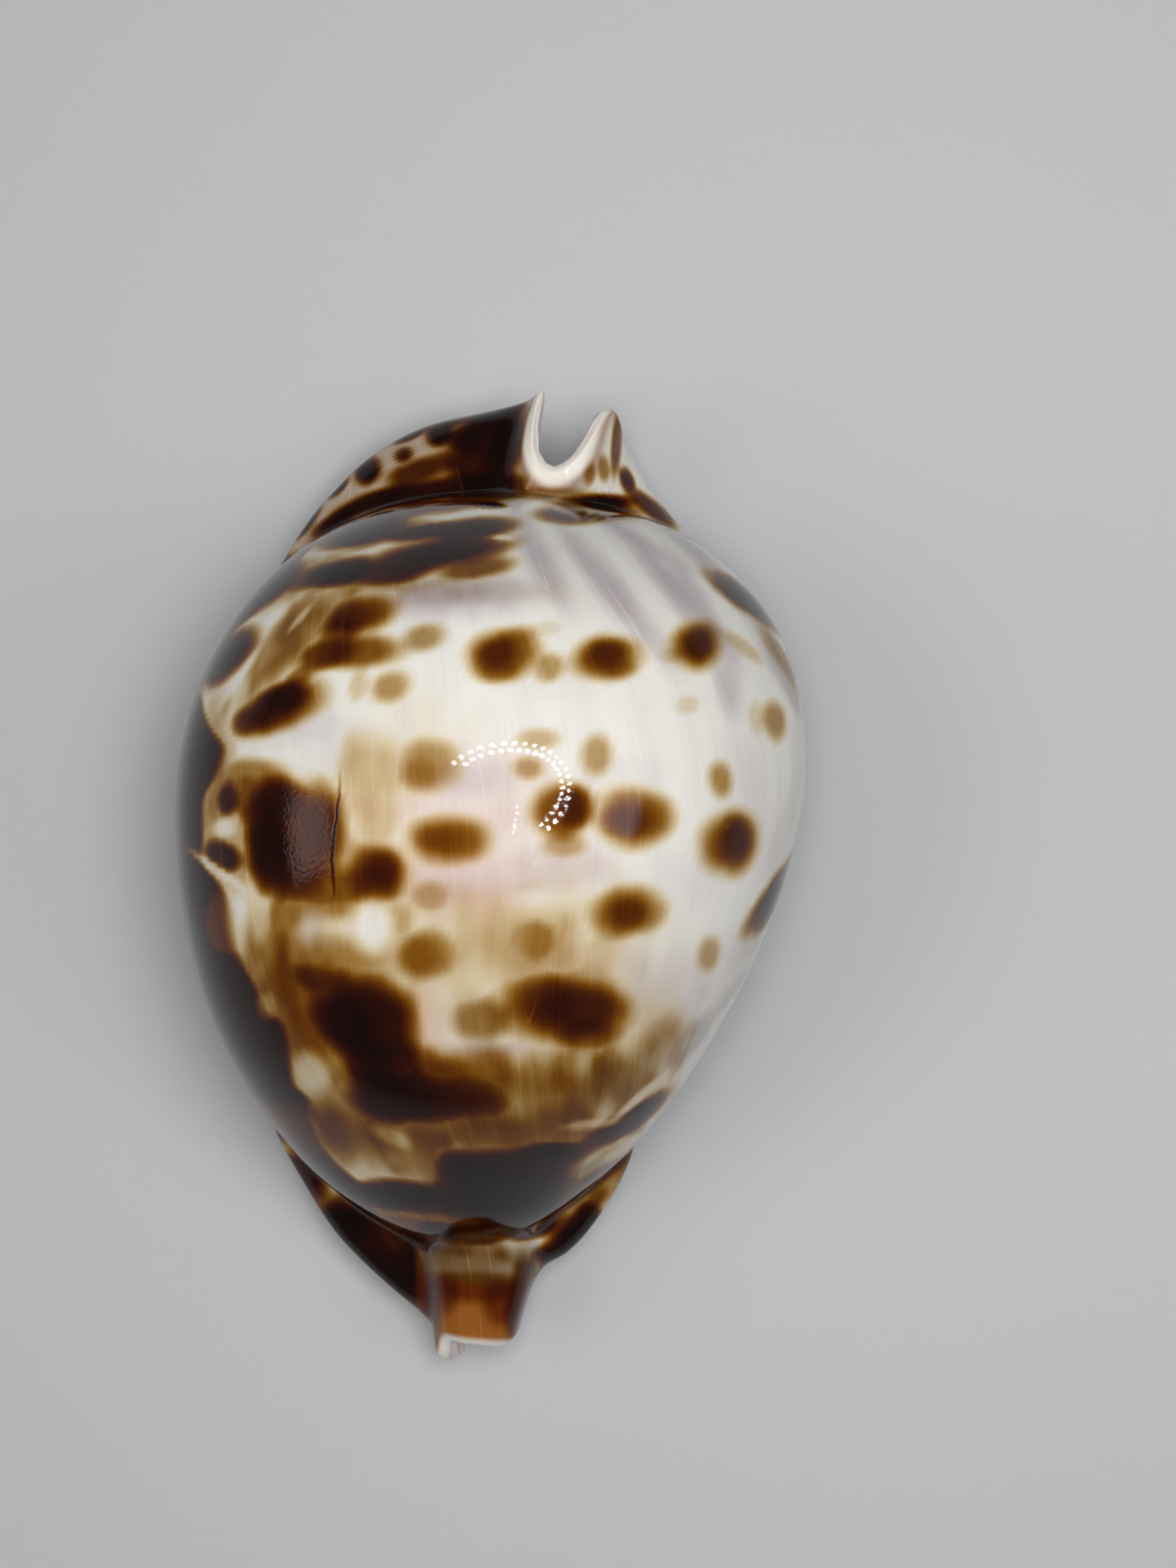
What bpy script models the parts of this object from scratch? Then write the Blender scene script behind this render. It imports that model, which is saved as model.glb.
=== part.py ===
"""A friend's cowrie: one hollow shell, resting on its toothed base with its back up.

Sizes are in millimetres and become metres when the mesh is made. +Z is up (the back of the
shell), +Y points to the blunt spire end, +X to the columella side, and the inrolled outer lip
lies on the -X side. The origin is on the resting plane, below the middle of the shell's box.

The shell is a loft along Y. Every section is one closed loop: the outer face from the outer lip
over the back to the columella lip, then the face of the hollow back again. Directions in a
section are turns about the line of the aperture, clockwise from straight down: 90 degrees is
the outer lip side, 180 the back and 270 the columella side.
"""

import math

import bmesh
import bpy
import numpy as np

MM = 0.001

# Driving dimensions of the whole shell
WIDTH = 49.9
HEIGHT = 39.0
WALL = ((-40, 1.1), (-34, 1.5), (-28, 1.8), (29, 1.8), (36, 1.5), (40, 1.2))
LEAST_WALL = 1.0

# The swollen body whorl, an egg that is blunt at the spire end
CROWN_Y = 8.0
WHORL_FRONT_Y = -31.3
WHORL_BACK_Y = 31.4
FRONT_POWERS = (1.8, 1.7)
BACK_POWERS = (2.0, 2.5)
WHORL_UPPER_POWER = 2.12
WHORL_LOWER_POWER = 2.45
WHORL_MIDDLE_X = ((-31.3, -0.5), (-24, -1.5), (-14, -1.6), (-5, -1.2), (8, -0.5), (20, 0.4), (32, 1.0))

# The line of the aperture, about which every section is measured
APERTURE_X = (
    (-40, 2.5), (-37, 2.0), (-33, 1.8), (-27, 0.4), (-22, -1.0), (-8, -3.1), (12, -3.0), (22, -0.9),
    (29, 1.4), (34, 2.2), (37, 2.5), (40, 3.0),
)
MIDDLE_Z = (
    (-40, 6.0), (-33, 6.2), (-26, 7.6), (-14, 12.2), (4, 14.6), (20, 13.2), (30, 9.4), (35, 8.0), (40, 8.0),
)
BASE_Z = ((-40, 2.6), (-33, 2.0), (-24, 0.9), (-12, -0.1), (14, -0.1), (24, 0.9), (32, 2.2), (40, 4.2))

# The low callused margin that shows beyond the whorl at both ends
MARGIN_LEFT_X = (
    (-40, -0.5), (-38.3, -1.1), (-37, -2.9), (-35.3, -5.4), (-33, -8.4), (-31, -10.6), (-27, -13.7),
    (-23, -16.3), (-20, -17.6), (-14, -18.6), (0, -19.6), (15, -20.4), (21, -20.9), (23, -20.5), (25, -19.6),
    (27, -18.6), (29, -17.4), (31, -15.9), (33, -14.2), (35, -11.9), (37, -8.4), (38.6, -3.4), (40, -0.2),
)
MARGIN_RIGHT_X = (
    (-40, 4.2), (-37, 4.8), (-34, 5.6), (-32.4, 6.9), (-31, 8.9), (-27, 11.7), (-23, 13.4), (-19, 14.2),
    (-10, 15.5), (15, 18.0), (22, 18.4), (25, 17.9), (27, 16.7), (29, 14.6), (31, 12.4), (33, 10.6),
    (35, 9.1), (37, 7.6), (40, 6.4),
)
MARGIN_TOP_Z = (
    (-40, 6.4), (-33, 7.6), (-27, 8.8), (-15, 10.0), (20, 12.0), (28, 13.0), (33, 12.6), (37, 11.4),
    (40, 10.6),
)
MARGIN_MIDDLE_Z = ((-40, 4.8), (-30, 4.6), (0, 6.0), (28, 6.0), (36, 6.4), (40, 7.4))
MARGIN_UPPER_POWER = 1.7
MARGIN_LOWER_POWER = 2.4

# The spouts at the two ends: half widths either side of the aperture's line, and their ridge
SPOUT_LEFT = (
    (-40, 3.5), (-37, 3.6), (-33, 4.3), (-28, 5.2), (0, 6.0), (28, 5.2), (33, 4.4), (37, 3.5), (40, 3.0),
)
SPOUT_RIGHT = (
    (-40, 2.6), (-37, 3.4), (-33, 4.3), (-28, 5.0), (0, 6.0), (28, 5.8), (33, 5.4), (37, 5.3), (40, 5.1),
)
SPOUT_TOP_Z = (
    (-40, 9.8), (-33, 10.6), (-28, 11.0), (0, 12.0), (27, 14.0), (33, 15.0), (37, 15.2), (40, 15.2),
)
SPOUT_POWER = 2.3

# How softly the three bodies run into each other
WHORL_BLEND = 1.6
SPOUT_BLEND = 2.0

# The sunken spire, a short slit between the back of the whorl and the spout
SPIRE_X = 5.2
SPIRE_Y = 30.9
SPIRE_HALF_LENGTH = 3.4
SPIRE_HALF_WIDTH = 1.1
SPIRE_DEPTH = 0.8

# The hollow narrows into a canal at each end
CANAL_HALF_WIDTH = (
    (-40, 1.9), (-37, 2.2), (-33, 2.9), (-31, 3.4), (-29.5, 4.4), (-28, 6.2), (-25, 9.8), (-20, 15.5),
    (-15, 26.0), (0, 40.0), (18, 28.0), (24, 18.5), (28, 12.6), (29.5, 9.2), (30.7, 5.8), (32, 3.6),
    (34, 2.8), (36, 2.7), (40, 2.8),
)
CANAL_HEIGHT = (
    (-40, 2.4), (-33, 2.8), (-31, 3.2), (-29.5, 4.4), (-28, 6.0), (-25, 9.6), (-20, 15.0),
    (-15, 26.0), (0, 40.0), (18, 28.0), (24, 18.5), (28, 12.6), (29.5, 9.6), (30.7, 6.8), (32, 5.6),
    (34, 5.4), (40, 5.6),
)
CANAL_DOWN = 40.0
CANAL_POWER = 2.3
CANAL_BLEND = 1.2

# The lips. Depth is how thick the wall is behind a lip, shared out by the turn from straight down.
GAP = (
    (-40, 1.4), (-38.5, 2.4), (-36.5, 4.0), (-33, 5.4), (-26, 6.2), (-14, 5.4), (6, 5.0), (22, 4.8),
    (30, 4.4), (40, 4.2),
)
LIP_SETBACK = ((-40, 0.8), (-33, 1.2), (-24, 2.4), (0, 3.0), (22, 2.6), (32, 1.3), (40, 0.8))
OUTER_LIP_DEPTH = ((-40, 1.6), (-33, 2.2), (-20, 4.4), (0, 5.0), (22, 4.4), (32, 2.6), (40, 1.6))
OUTER_LIP_SHARE = ((0, 1.0), (34, 1.0), (50, 0.75), (64, 0.5), (84, 0.36), (100, 0.3))
COLUMELLA_DEPTH = (
    (-40, 1.6), (-33, 2.4), (-24, 6.0), (-14, 10.0), (4, 12.0), (18, 10.5), (26, 6.0), (33, 3.0), (40, 1.8),
)
COLUMELLA_SHARE = (
    (0, 0.45), (22, 0.5), (36, 0.85), (50, 1.0), (64, 0.68), (80, 0.26), (98, 0.14), (115, 0.1),
)
LIP_CLEARANCE = 0.35

# Teeth: a row along the outer lip, and a few weak ones at the front of the columella
TOOTH_COUNT = 22
TOOTH_PITCH = 2.85
FIRST_TOOTH_Y = -31.5
TOOTH_HEIGHT = 0.7
GROOVE_DEPTH = 0.5
TOOTH_LENGTH = 4.5
COLUMELLA_TEETH = ((-40, 0.5), (-22, 0.5), (-12, 0.0), (40, 0.0))

# Where the shell ends at the front and the back, by the turn in degrees
FRONT_END_Y = (
    (0, -39.4), (30, -40.3), (55, -40.7), (82, -40.6), (104, -39.9), (122, -38.9), (142, -38.4),
    (180, -38.4), (230, -38.5), (275, -38.3), (305, -37.6), (360, -37.2),
)
BACK_END_Y = (
    (0, 36.6), (60, 38.4), (110, 39.5), (150, 40.0), (155, 39.3), (160, 37.0), (166, 34.9), (180, 33.6),
    (193, 34.6), (200, 36.0), (207, 37.8), (214, 38.7), (222, 38.9), (236, 38.2), (255, 37.2), (310, 36.2),
    (360, 35.4),
)
FRONT_STRETCH_Y = -30.0
BACK_STRETCH_Y = 26.0
NOMINAL_FRONT_Y = -38.5
NOMINAL_BACK_Y = 38.0
RIM_ROUND = 0.9
RIM_EDGE = 0.3

# How finely the outer face is searched for, and how finely the solid is faceted
REACH_STEP = 0.8
OUTER_POINTS = 46
INNER_POINTS = 18
LIP_POINTS = 6
STATIONS_PER_TOOTH = 2
END_STATIONS = 8

SHELL_COLOUR = (0.62, 0.45, 0.30, 1.0)
SHELL_ROUGHNESS = 0.12


def keyed(at, keys):
    """The value at each place of a smooth curve through the keys, with no overshoot between them."""
    places, values = np.array(keys, float).T
    steps = np.diff(places)
    slopes = np.diff(values) / steps
    before, after = slopes[:-1], slopes[1:]
    same_way = before * after > 0
    first = 2 * steps[1:] + steps[:-1]
    second = steps[1:] + 2 * steps[:-1]
    weighed = first / np.where(same_way, before, 1) + second / np.where(same_way, after, 1)
    mean = (first + second) / weighed
    tangents = np.concatenate([slopes[:1], np.where(same_way, mean, 0), slopes[-1:]])
    x = np.clip(at, places[0], places[-1])
    i = np.clip(np.searchsorted(places, x, side="right") - 1, 0, len(steps) - 1)
    t = (x - places[i]) / steps[i]
    start = (1 + 2 * t) * (1 - t) ** 2 * values[i] + t * (1 - t) ** 2 * steps[i] * tangents[i]
    end = t * t * (3 - 2 * t) * values[i + 1] + t * t * (t - 1) * steps[i] * tangents[i + 1]
    return start + end


def fade(value, full, none):
    """1 up to full, 0 from none on, and a smooth step between."""
    t = np.clip((value - full) / (none - full), 0, 1)
    return 1 - t * t * (3 - 2 * t)


def soft_min(a, b, width):
    """The smaller of two distances, rounded off where they are within width of each other."""
    near = np.maximum(width - np.abs(a - b), 0) / width
    return np.minimum(a, b) - near * near * width / 4


def egg(y):
    """How swollen the whorl is at y: 1 at the crown and 0 at either end."""
    forward = np.clip((CROWN_Y - y) / (CROWN_Y - WHORL_FRONT_Y), 0, 1)
    backward = np.clip((y - CROWN_Y) / (WHORL_BACK_Y - CROWN_Y), 0, 1)
    front = (1 - forward ** FRONT_POWERS[0]) ** (1 / FRONT_POWERS[1])
    back = (1 - backward ** BACK_POWERS[0]) ** (1 / BACK_POWERS[1])
    return np.where(y < CROWN_Y, front, back)


def oval_distance(x, z, left, right, up, down, upper_power, lower_power):
    """How far a point is outside an oval about the origin whose four quarters are unlike."""
    half = np.maximum(np.where(x < 0, left, right), 0.01)
    tall = np.maximum(np.where(z > 0, up, down), 0.01)
    power = np.where(z > 0, upper_power, lower_power)
    size = (np.abs(x / half) ** power + np.abs(z / tall) ** power) ** (1 / power)
    return np.hypot(x, z) * (1 - 1 / np.maximum(size, 1e-6))


def outside(x, y, z):
    """How far the point is outside the shell's outer form, within its own section."""
    middle_z = keyed(y, MIDDLE_Z)
    base_z = keyed(y, BASE_Z)
    aperture_x = keyed(y, APERTURE_X)
    swell = egg(y)
    crown_rise = HEIGHT - keyed(CROWN_Y, MIDDLE_Z)
    whorl = oval_distance(
        x - keyed(y, WHORL_MIDDLE_X), z - middle_z,
        WIDTH / 2 * swell, WIDTH / 2 * swell, crown_rise * swell, middle_z - base_z,
        WHORL_UPPER_POWER, WHORL_LOWER_POWER,
    )
    margin_z = keyed(y, MARGIN_MIDDLE_Z)
    margin = oval_distance(
        x - aperture_x, z - margin_z,
        aperture_x - keyed(y, MARGIN_LEFT_X), keyed(y, MARGIN_RIGHT_X) - aperture_x,
        keyed(y, MARGIN_TOP_Z) - margin_z, margin_z - base_z,
        MARGIN_UPPER_POWER, MARGIN_LOWER_POWER,
    )
    spout = oval_distance(
        x - aperture_x, z - middle_z,
        keyed(y, SPOUT_LEFT), keyed(y, SPOUT_RIGHT),
        keyed(y, SPOUT_TOP_Z) - middle_z, middle_z - base_z,
        SPOUT_POWER, SPOUT_POWER,
    )
    return soft_min(soft_min(whorl, margin, WHORL_BLEND), spout, SPOUT_BLEND)


def towards(turn):
    """The X and Z of the direction at a turn."""
    return -np.sin(turn), -np.cos(turn)


def lip_turn_at(y):
    """The turn at which the outer face ends at a lip."""
    return np.arctan2(keyed(y, GAP) / 2 + keyed(y, LIP_SETBACK), keyed(y, MIDDLE_Z) - keyed(y, BASE_Z))


def outer_reach(turn, y):
    """How far the outer face is from the aperture's line: the last place that is still inside."""
    way_x, way_z = towards(turn)
    centre_x, centre_z = keyed(y, APERTURE_X), keyed(y, MIDDLE_Z)
    low = np.zeros(np.broadcast(turn, y).shape)
    for reach in np.arange(REACH_STEP, WIDTH * 0.7, REACH_STEP):
        inside = outside(centre_x + reach * way_x, y, centre_z + reach * way_z) < 0
        low = np.where(inside, reach, low)
    high = low + REACH_STEP
    for _ in range(16):
        half = (low + high) / 2
        inside = outside(centre_x + half * way_x, y, centre_z + half * way_z) < 0
        low, high = np.where(inside, half, low), np.where(inside, high, half)
    across = (centre_x + low * way_x - SPIRE_X) / SPIRE_HALF_LENGTH
    along = (y - SPIRE_Y) / SPIRE_HALF_WIDTH
    pit = SPIRE_DEPTH * np.exp(-across ** 4 - along ** 2) * (way_z > 0)
    return low - pit


def inner_reach(turn, y, outer):
    """How far the face of the hollow is from the aperture's line."""
    from_left, from_right = turn, 2 * math.pi - turn
    outer_lip = keyed(y, OUTER_LIP_DEPTH) * keyed(np.degrees(from_left), OUTER_LIP_SHARE)
    columella = keyed(y, COLUMELLA_DEPTH) * keyed(np.degrees(from_right), COLUMELLA_SHARE)
    wall = np.maximum(keyed(y, WALL), np.where(turn < math.pi, outer_lip, columella))
    way_x, way_z = towards(turn)
    canal_across = np.abs(way_x) / keyed(y, CANAL_HALF_WIDTH)
    canal_tall = np.abs(way_z) / np.where(way_z > 0, keyed(y, CANAL_HEIGHT), CANAL_DOWN)
    canal = (canal_across ** CANAL_POWER + canal_tall ** CANAL_POWER) ** (-1 / CANAL_POWER)
    clear_of_gap = np.where(way_z < 0, (keyed(y, GAP) / 2 + LIP_CLEARANCE) / np.abs(way_x).clip(0.05), 0)
    reach = np.maximum(outer - wall, clear_of_gap)
    reach = soft_min(reach, canal, CANAL_BLEND)
    return np.clip(reach, 0.3, outer - LEAST_WALL)


def stretched(y, turn):
    """Moves the stations near an end so that the last one lies on the shell's own edge."""
    degrees = np.degrees(turn)
    front_share = np.clip((FRONT_STRETCH_Y - y) / (FRONT_STRETCH_Y - NOMINAL_FRONT_Y), 0, 1)
    back_share = np.clip((y - BACK_STRETCH_Y) / (NOMINAL_BACK_Y - BACK_STRETCH_Y), 0, 1)
    to_front = FRONT_STRETCH_Y + front_share * (keyed(degrees, FRONT_END_Y) - FRONT_STRETCH_Y)
    to_back = BACK_STRETCH_Y + back_share * (keyed(degrees, BACK_END_Y) - BACK_STRETCH_Y)
    return np.where(y < FRONT_STRETCH_Y, to_front, np.where(y > BACK_STRETCH_Y, to_back, y))


def rim_share(y, turn):
    """The share of the wall's thickness that is left near the shell's two ends."""
    degrees = np.degrees(turn)
    room = np.minimum(y - keyed(degrees, FRONT_END_Y), keyed(degrees, BACK_END_Y) - y)
    s = np.clip(1 - room / RIM_ROUND, 0, 1)
    return np.maximum(np.sqrt(1 - s * s), RIM_EDGE)


def stations():
    """Nominal places of the sections: even along the teeth and closer at the ends."""
    toothed_count = (TOOTH_COUNT - 1) * STATIONS_PER_TOOTH + 1
    toothed = FIRST_TOOTH_Y + np.arange(toothed_count) * TOOTH_PITCH / STATIONS_PER_TOOTH
    ease = np.sin(np.linspace(0, math.pi / 2, END_STATIONS + 1))[1:]
    front = toothed[0] + ease * (NOMINAL_FRONT_Y - toothed[0])
    back = toothed[-1] + ease * (NOMINAL_BACK_Y - toothed[-1])
    return np.concatenate([front[::-1], toothed, back])


def between_teeth(y):
    """1 between two teeth and 0 on the crest of one or beyond the row."""
    turns = (y - FIRST_TOOTH_Y) / TOOTH_PITCH
    in_row = (turns > 0) & (turns < TOOTH_COUNT - 1)
    return np.where(in_row, 0.5 - 0.5 * np.cos(2 * math.pi * turns), 0)


def faces_at(turn, nominal_y, lip_turn):
    """The reach of the outer face and of the hollow, and the place along Y, at a turn."""
    y = stretched(nominal_y, turn)
    outer = outer_reach(turn, y)
    inner = inner_reach(turn, y, outer)
    from_outer_lip = outer * (turn - lip_turn)
    from_columella_lip = outer * (2 * math.pi - lip_turn - turn)
    groove = fade(from_outer_lip, 0.3, TOOTH_LENGTH)
    groove = groove + keyed(y, COLUMELLA_TEETH) * fade(from_columella_lip, 0.3, TOOTH_LENGTH)
    outer = outer - GROOVE_DEPTH * groove * between_teeth(nominal_y)
    middle, half = (outer + inner) / 2, (outer - inner) / 2
    half = half * rim_share(y, turn)
    return middle + half, middle - half, y


def lip_points(start, end, edge, y):
    """Points round a lip from the outer face to the hollow, at most as far as the gap's edge."""
    angle = np.linspace(0, math.pi, LIP_POINTS + 2)[1:-1, None]
    side = np.sign(edge)
    middle_x, half_x = (start[0] + end[0]) / 2, (start[0] - end[0]) / 2
    middle_z, half_z = (start[1] + end[1]) / 2, (start[1] - end[1]) / 2
    bulge = np.maximum(side * (middle_x - edge), 0.15)
    x = middle_x + half_x * np.cos(angle) - side * bulge * np.sin(angle)
    z = middle_z + half_z * np.cos(angle)
    return x, z, y + 0 * angle


def section_loops():
    """The loops of points, as X, Y and Z with a row for each place round the loop."""
    nominal_y = stations()[None, :]
    lip_turn = lip_turn_at(nominal_y)
    span = 2 * math.pi - 2 * lip_turn
    outer_turn = lip_turn + np.linspace(0, 1, OUTER_POINTS)[:, None] * span
    inner_turn = lip_turn + np.linspace(1, 0, INNER_POINTS)[:, None] * span
    outer_r, _, outer_y = faces_at(outer_turn, nominal_y, lip_turn)
    _, inner_r, inner_y = faces_at(inner_turn, nominal_y, lip_turn)
    outer_x, outer_z = [outer_r * way for way in towards(outer_turn)]
    inner_x, inner_z = [inner_r * way for way in towards(inner_turn)]

    notch = between_teeth(nominal_y) * TOOTH_HEIGHT
    half_gap = keyed(nominal_y, GAP) / 2
    right_edge = half_gap + notch * keyed(nominal_y, COLUMELLA_TEETH)
    left_edge = -(half_gap + notch)
    right_lip = lip_points((outer_x[-1], outer_z[-1]), (inner_x[0], inner_z[0]), right_edge, inner_y[:1])
    left_lip = lip_points((inner_x[-1], inner_z[-1]), (outer_x[0], outer_z[0]), left_edge, outer_y[:1])

    x = np.concatenate([outer_x, right_lip[0], inner_x, left_lip[0]])
    z = np.concatenate([outer_z, right_lip[1], inner_z, left_lip[1]])
    y = np.concatenate([outer_y, right_lip[2], inner_y, left_lip[2]])
    x = x + keyed(y, APERTURE_X)
    z = np.maximum(z + keyed(y, MIDDLE_Z), 0)
    return x, y, z


def cap_faces(corner):
    """Triangles that close one end. corner(i) is the vertex at place i of the end's loop."""
    faces = []
    inner_start = OUTER_POINTS + LIP_POINTS
    outer_at, inner_at = 0, INNER_POINTS - 1
    while outer_at < OUTER_POINTS - 1 or inner_at > 0:
        outer_share = (outer_at + 1) / (OUTER_POINTS - 1)
        inner_share = 1 - (inner_at - 1) / (INNER_POINTS - 1)
        pair = [corner(outer_at), corner(inner_start + inner_at)]
        if inner_at == 0 or (outer_at < OUTER_POINTS - 1 and outer_share <= inner_share):
            outer_at += 1
            faces.append([pair[0], corner(outer_at), pair[1]])
        else:
            inner_at -= 1
            faces.append([pair[0], corner(inner_start + inner_at), pair[1]])
    right_lip = list(range(OUTER_POINTS - 1, inner_start + 1))
    left_lip = list(range(inner_start + INNER_POINTS - 1, inner_start + INNER_POINTS + LIP_POINTS)) + [0]
    for lip in (right_lip, left_lip):
        low, high = 0, len(lip) - 1
        while high - low > 1:
            faces.append([corner(lip[low]), corner(lip[low + 1]), corner(lip[high])])
            low += 1
            if high - low > 1:
                faces.append([corner(lip[low]), corner(lip[high - 1]), corner(lip[high])])
                high -= 1
    return faces


def shell_mesh():
    """The closed mesh of the shell, in metres."""
    x, y, z = section_loops()
    points, sections = x.shape
    vertices = np.stack([x.T, y.T, z.T], -1).reshape(-1, 3) * MM
    faces = []
    for j in range(sections - 1):
        for i in range(points):
            along = (i + 1) % points
            here, there = j * points, (j + 1) * points
            faces.append([here + i, here + along, there + along, there + i])
    faces += cap_faces(lambda i: i)
    faces += cap_faces(lambda i: (sections - 1) * points + i)
    mesh = bpy.data.meshes.new("cowrie_shell")
    mesh.from_pydata(vertices.tolist(), [], faces)
    body = bmesh.new()
    body.from_mesh(mesh)
    bmesh.ops.recalc_face_normals(body, faces=body.faces)
    body.to_mesh(mesh)
    body.free()
    return mesh


def centre_on_origin(mesh):
    """Moves the mesh so that the origin is below the middle of its box, on the resting plane."""
    places = np.array([vertex.co for vertex in mesh.vertices])
    low, high = places.min(0), places.max(0)
    shift = [(low[0] + high[0]) / 2, (low[1] + high[1]) / 2, low[2]]
    mesh.vertices.foreach_set("co", (places - shift).ravel())
    mesh.update()


def build():
    for thing in list(bpy.data.objects):
        bpy.data.objects.remove(thing)
    collection = bpy.data.collections.new("friends cowrie shell")
    bpy.context.scene.collection.children.link(collection)
    mesh = shell_mesh()
    centre_on_origin(mesh)
    shell = bpy.data.objects.new("cowrie_shell", mesh)
    collection.objects.link(shell)
    nacre = bpy.data.materials.new("cowrie_shell")
    nacre.use_nodes = True
    surface = nacre.node_tree.nodes["Principled BSDF"]
    surface.inputs["Base Color"].default_value = SHELL_COLOUR
    surface.inputs["Roughness"].default_value = SHELL_ROUGHNESS
    mesh.materials.append(nacre)


build()
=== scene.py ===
"""The looks of a friend's cowrie: one glossy spotted shell, resting on its toothed base.

The shell is lofted again with the solid's own sizes and formulas, only finer, and replaces the
plain node. Sizes are in millimetres and become metres when the mesh is made. Its markings are
spots, margins and washes listed one by one, blurred and frayed by procedural noise.
"""

import math

import bpy
import numpy as np
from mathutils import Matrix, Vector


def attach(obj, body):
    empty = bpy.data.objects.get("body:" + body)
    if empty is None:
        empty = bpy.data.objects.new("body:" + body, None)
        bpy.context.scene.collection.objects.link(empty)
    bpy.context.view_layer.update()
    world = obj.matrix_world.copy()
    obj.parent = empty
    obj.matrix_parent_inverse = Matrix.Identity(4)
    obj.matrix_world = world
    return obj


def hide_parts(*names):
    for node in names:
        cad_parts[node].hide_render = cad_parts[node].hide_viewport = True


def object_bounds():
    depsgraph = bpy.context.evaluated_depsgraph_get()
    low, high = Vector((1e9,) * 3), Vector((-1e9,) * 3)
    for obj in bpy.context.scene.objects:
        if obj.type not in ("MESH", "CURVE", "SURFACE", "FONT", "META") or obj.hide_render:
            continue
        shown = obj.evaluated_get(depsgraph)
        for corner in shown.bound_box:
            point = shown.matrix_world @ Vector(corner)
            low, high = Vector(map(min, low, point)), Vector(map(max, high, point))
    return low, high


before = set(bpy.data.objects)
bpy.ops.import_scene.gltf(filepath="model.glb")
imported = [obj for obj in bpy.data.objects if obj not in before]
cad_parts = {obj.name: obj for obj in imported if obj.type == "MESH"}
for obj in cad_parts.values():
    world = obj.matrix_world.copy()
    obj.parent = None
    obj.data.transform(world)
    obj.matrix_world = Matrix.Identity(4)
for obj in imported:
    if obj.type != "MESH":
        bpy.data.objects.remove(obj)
CAD_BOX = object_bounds()

MM = 0.001

# Driving dimensions of the whole shell
WIDTH = 49.9
HEIGHT = 39.0
WALL = ((-40, 1.1), (-34, 1.5), (-28, 1.8), (29, 1.8), (36, 1.5), (40, 1.2))
LEAST_WALL = 1.0

# The swollen body whorl, an egg that is blunt at the spire end
CROWN_Y = 8.0
WHORL_FRONT_Y = -31.3
WHORL_BACK_Y = 31.4
FRONT_POWERS = (1.8, 1.7)
BACK_POWERS = (2.0, 2.5)
WHORL_UPPER_POWER = 2.12
WHORL_LOWER_POWER = 2.45
WHORL_MIDDLE_X = ((-31.3, -0.5), (-24, -1.5), (-14, -1.6), (-5, -1.2), (8, -0.5), (20, 0.4), (32, 1.0))

# The line of the aperture, about which every section is measured
APERTURE_X = (
    (-40, 2.5), (-37, 2.0), (-33, 1.8), (-27, 0.4), (-22, -1.0), (-8, -3.1), (12, -3.0), (22, -0.9),
    (29, 1.4), (34, 2.2), (37, 2.5), (40, 3.0),
)
MIDDLE_Z = (
    (-40, 6.0), (-33, 6.2), (-26, 7.6), (-14, 12.2), (4, 14.6), (20, 13.2), (30, 9.4), (35, 8.0), (40, 8.0),
)
BASE_Z = ((-40, 2.6), (-33, 2.0), (-24, 0.9), (-12, -0.1), (14, -0.1), (24, 0.9), (32, 2.2), (40, 4.2))

# The low callused margin that shows beyond the whorl at both ends
MARGIN_LEFT_X = (
    (-40, -0.5), (-38.3, -1.1), (-37, -2.9), (-35.3, -5.4), (-33, -8.4), (-31, -10.6), (-27, -13.7),
    (-23, -16.3), (-20, -17.6), (-14, -18.6), (0, -19.6), (15, -20.4), (21, -20.9), (23, -20.5), (25, -19.6),
    (27, -18.6), (29, -17.4), (31, -15.9), (33, -14.2), (35, -11.9), (37, -8.4), (38.6, -3.4), (40, -0.2),
)
MARGIN_RIGHT_X = (
    (-40, 4.2), (-37, 4.8), (-34, 5.6), (-32.4, 6.9), (-31, 8.9), (-27, 11.7), (-23, 13.4), (-19, 14.2),
    (-10, 15.5), (15, 18.0), (22, 18.4), (25, 17.9), (27, 16.7), (29, 14.6), (31, 12.4), (33, 10.6),
    (35, 9.1), (37, 7.6), (40, 6.4),
)
MARGIN_TOP_Z = (
    (-40, 6.4), (-33, 7.6), (-27, 8.8), (-15, 10.0), (20, 12.0), (28, 13.0), (33, 12.6), (37, 11.4),
    (40, 10.6),
)
MARGIN_MIDDLE_Z = ((-40, 4.8), (-30, 4.6), (0, 6.0), (28, 6.0), (36, 6.4), (40, 7.4))
MARGIN_UPPER_POWER = 1.7
MARGIN_LOWER_POWER = 2.4

# The spouts at the two ends: half widths either side of the aperture's line, and their ridge
SPOUT_LEFT = (
    (-40, 3.5), (-37, 3.6), (-33, 4.3), (-28, 5.2), (0, 6.0), (28, 5.2), (33, 4.4), (37, 3.5), (40, 3.0),
)
SPOUT_RIGHT = (
    (-40, 2.6), (-37, 3.4), (-33, 4.3), (-28, 5.0), (0, 6.0), (28, 5.8), (33, 5.4), (37, 5.3), (40, 5.1),
)
SPOUT_TOP_Z = (
    (-40, 9.8), (-33, 10.6), (-28, 11.0), (0, 12.0), (27, 14.0), (33, 15.0), (37, 15.2), (40, 15.2),
)
SPOUT_POWER = 2.3

# How softly the three bodies run into each other
WHORL_BLEND = 1.6
SPOUT_BLEND = 2.0

# The sunken spire, a short slit between the back of the whorl and the spout
SPIRE_X = 5.2
SPIRE_Y = 30.9
SPIRE_HALF_LENGTH = 3.4
SPIRE_HALF_WIDTH = 1.1
SPIRE_DEPTH = 0.8

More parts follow.
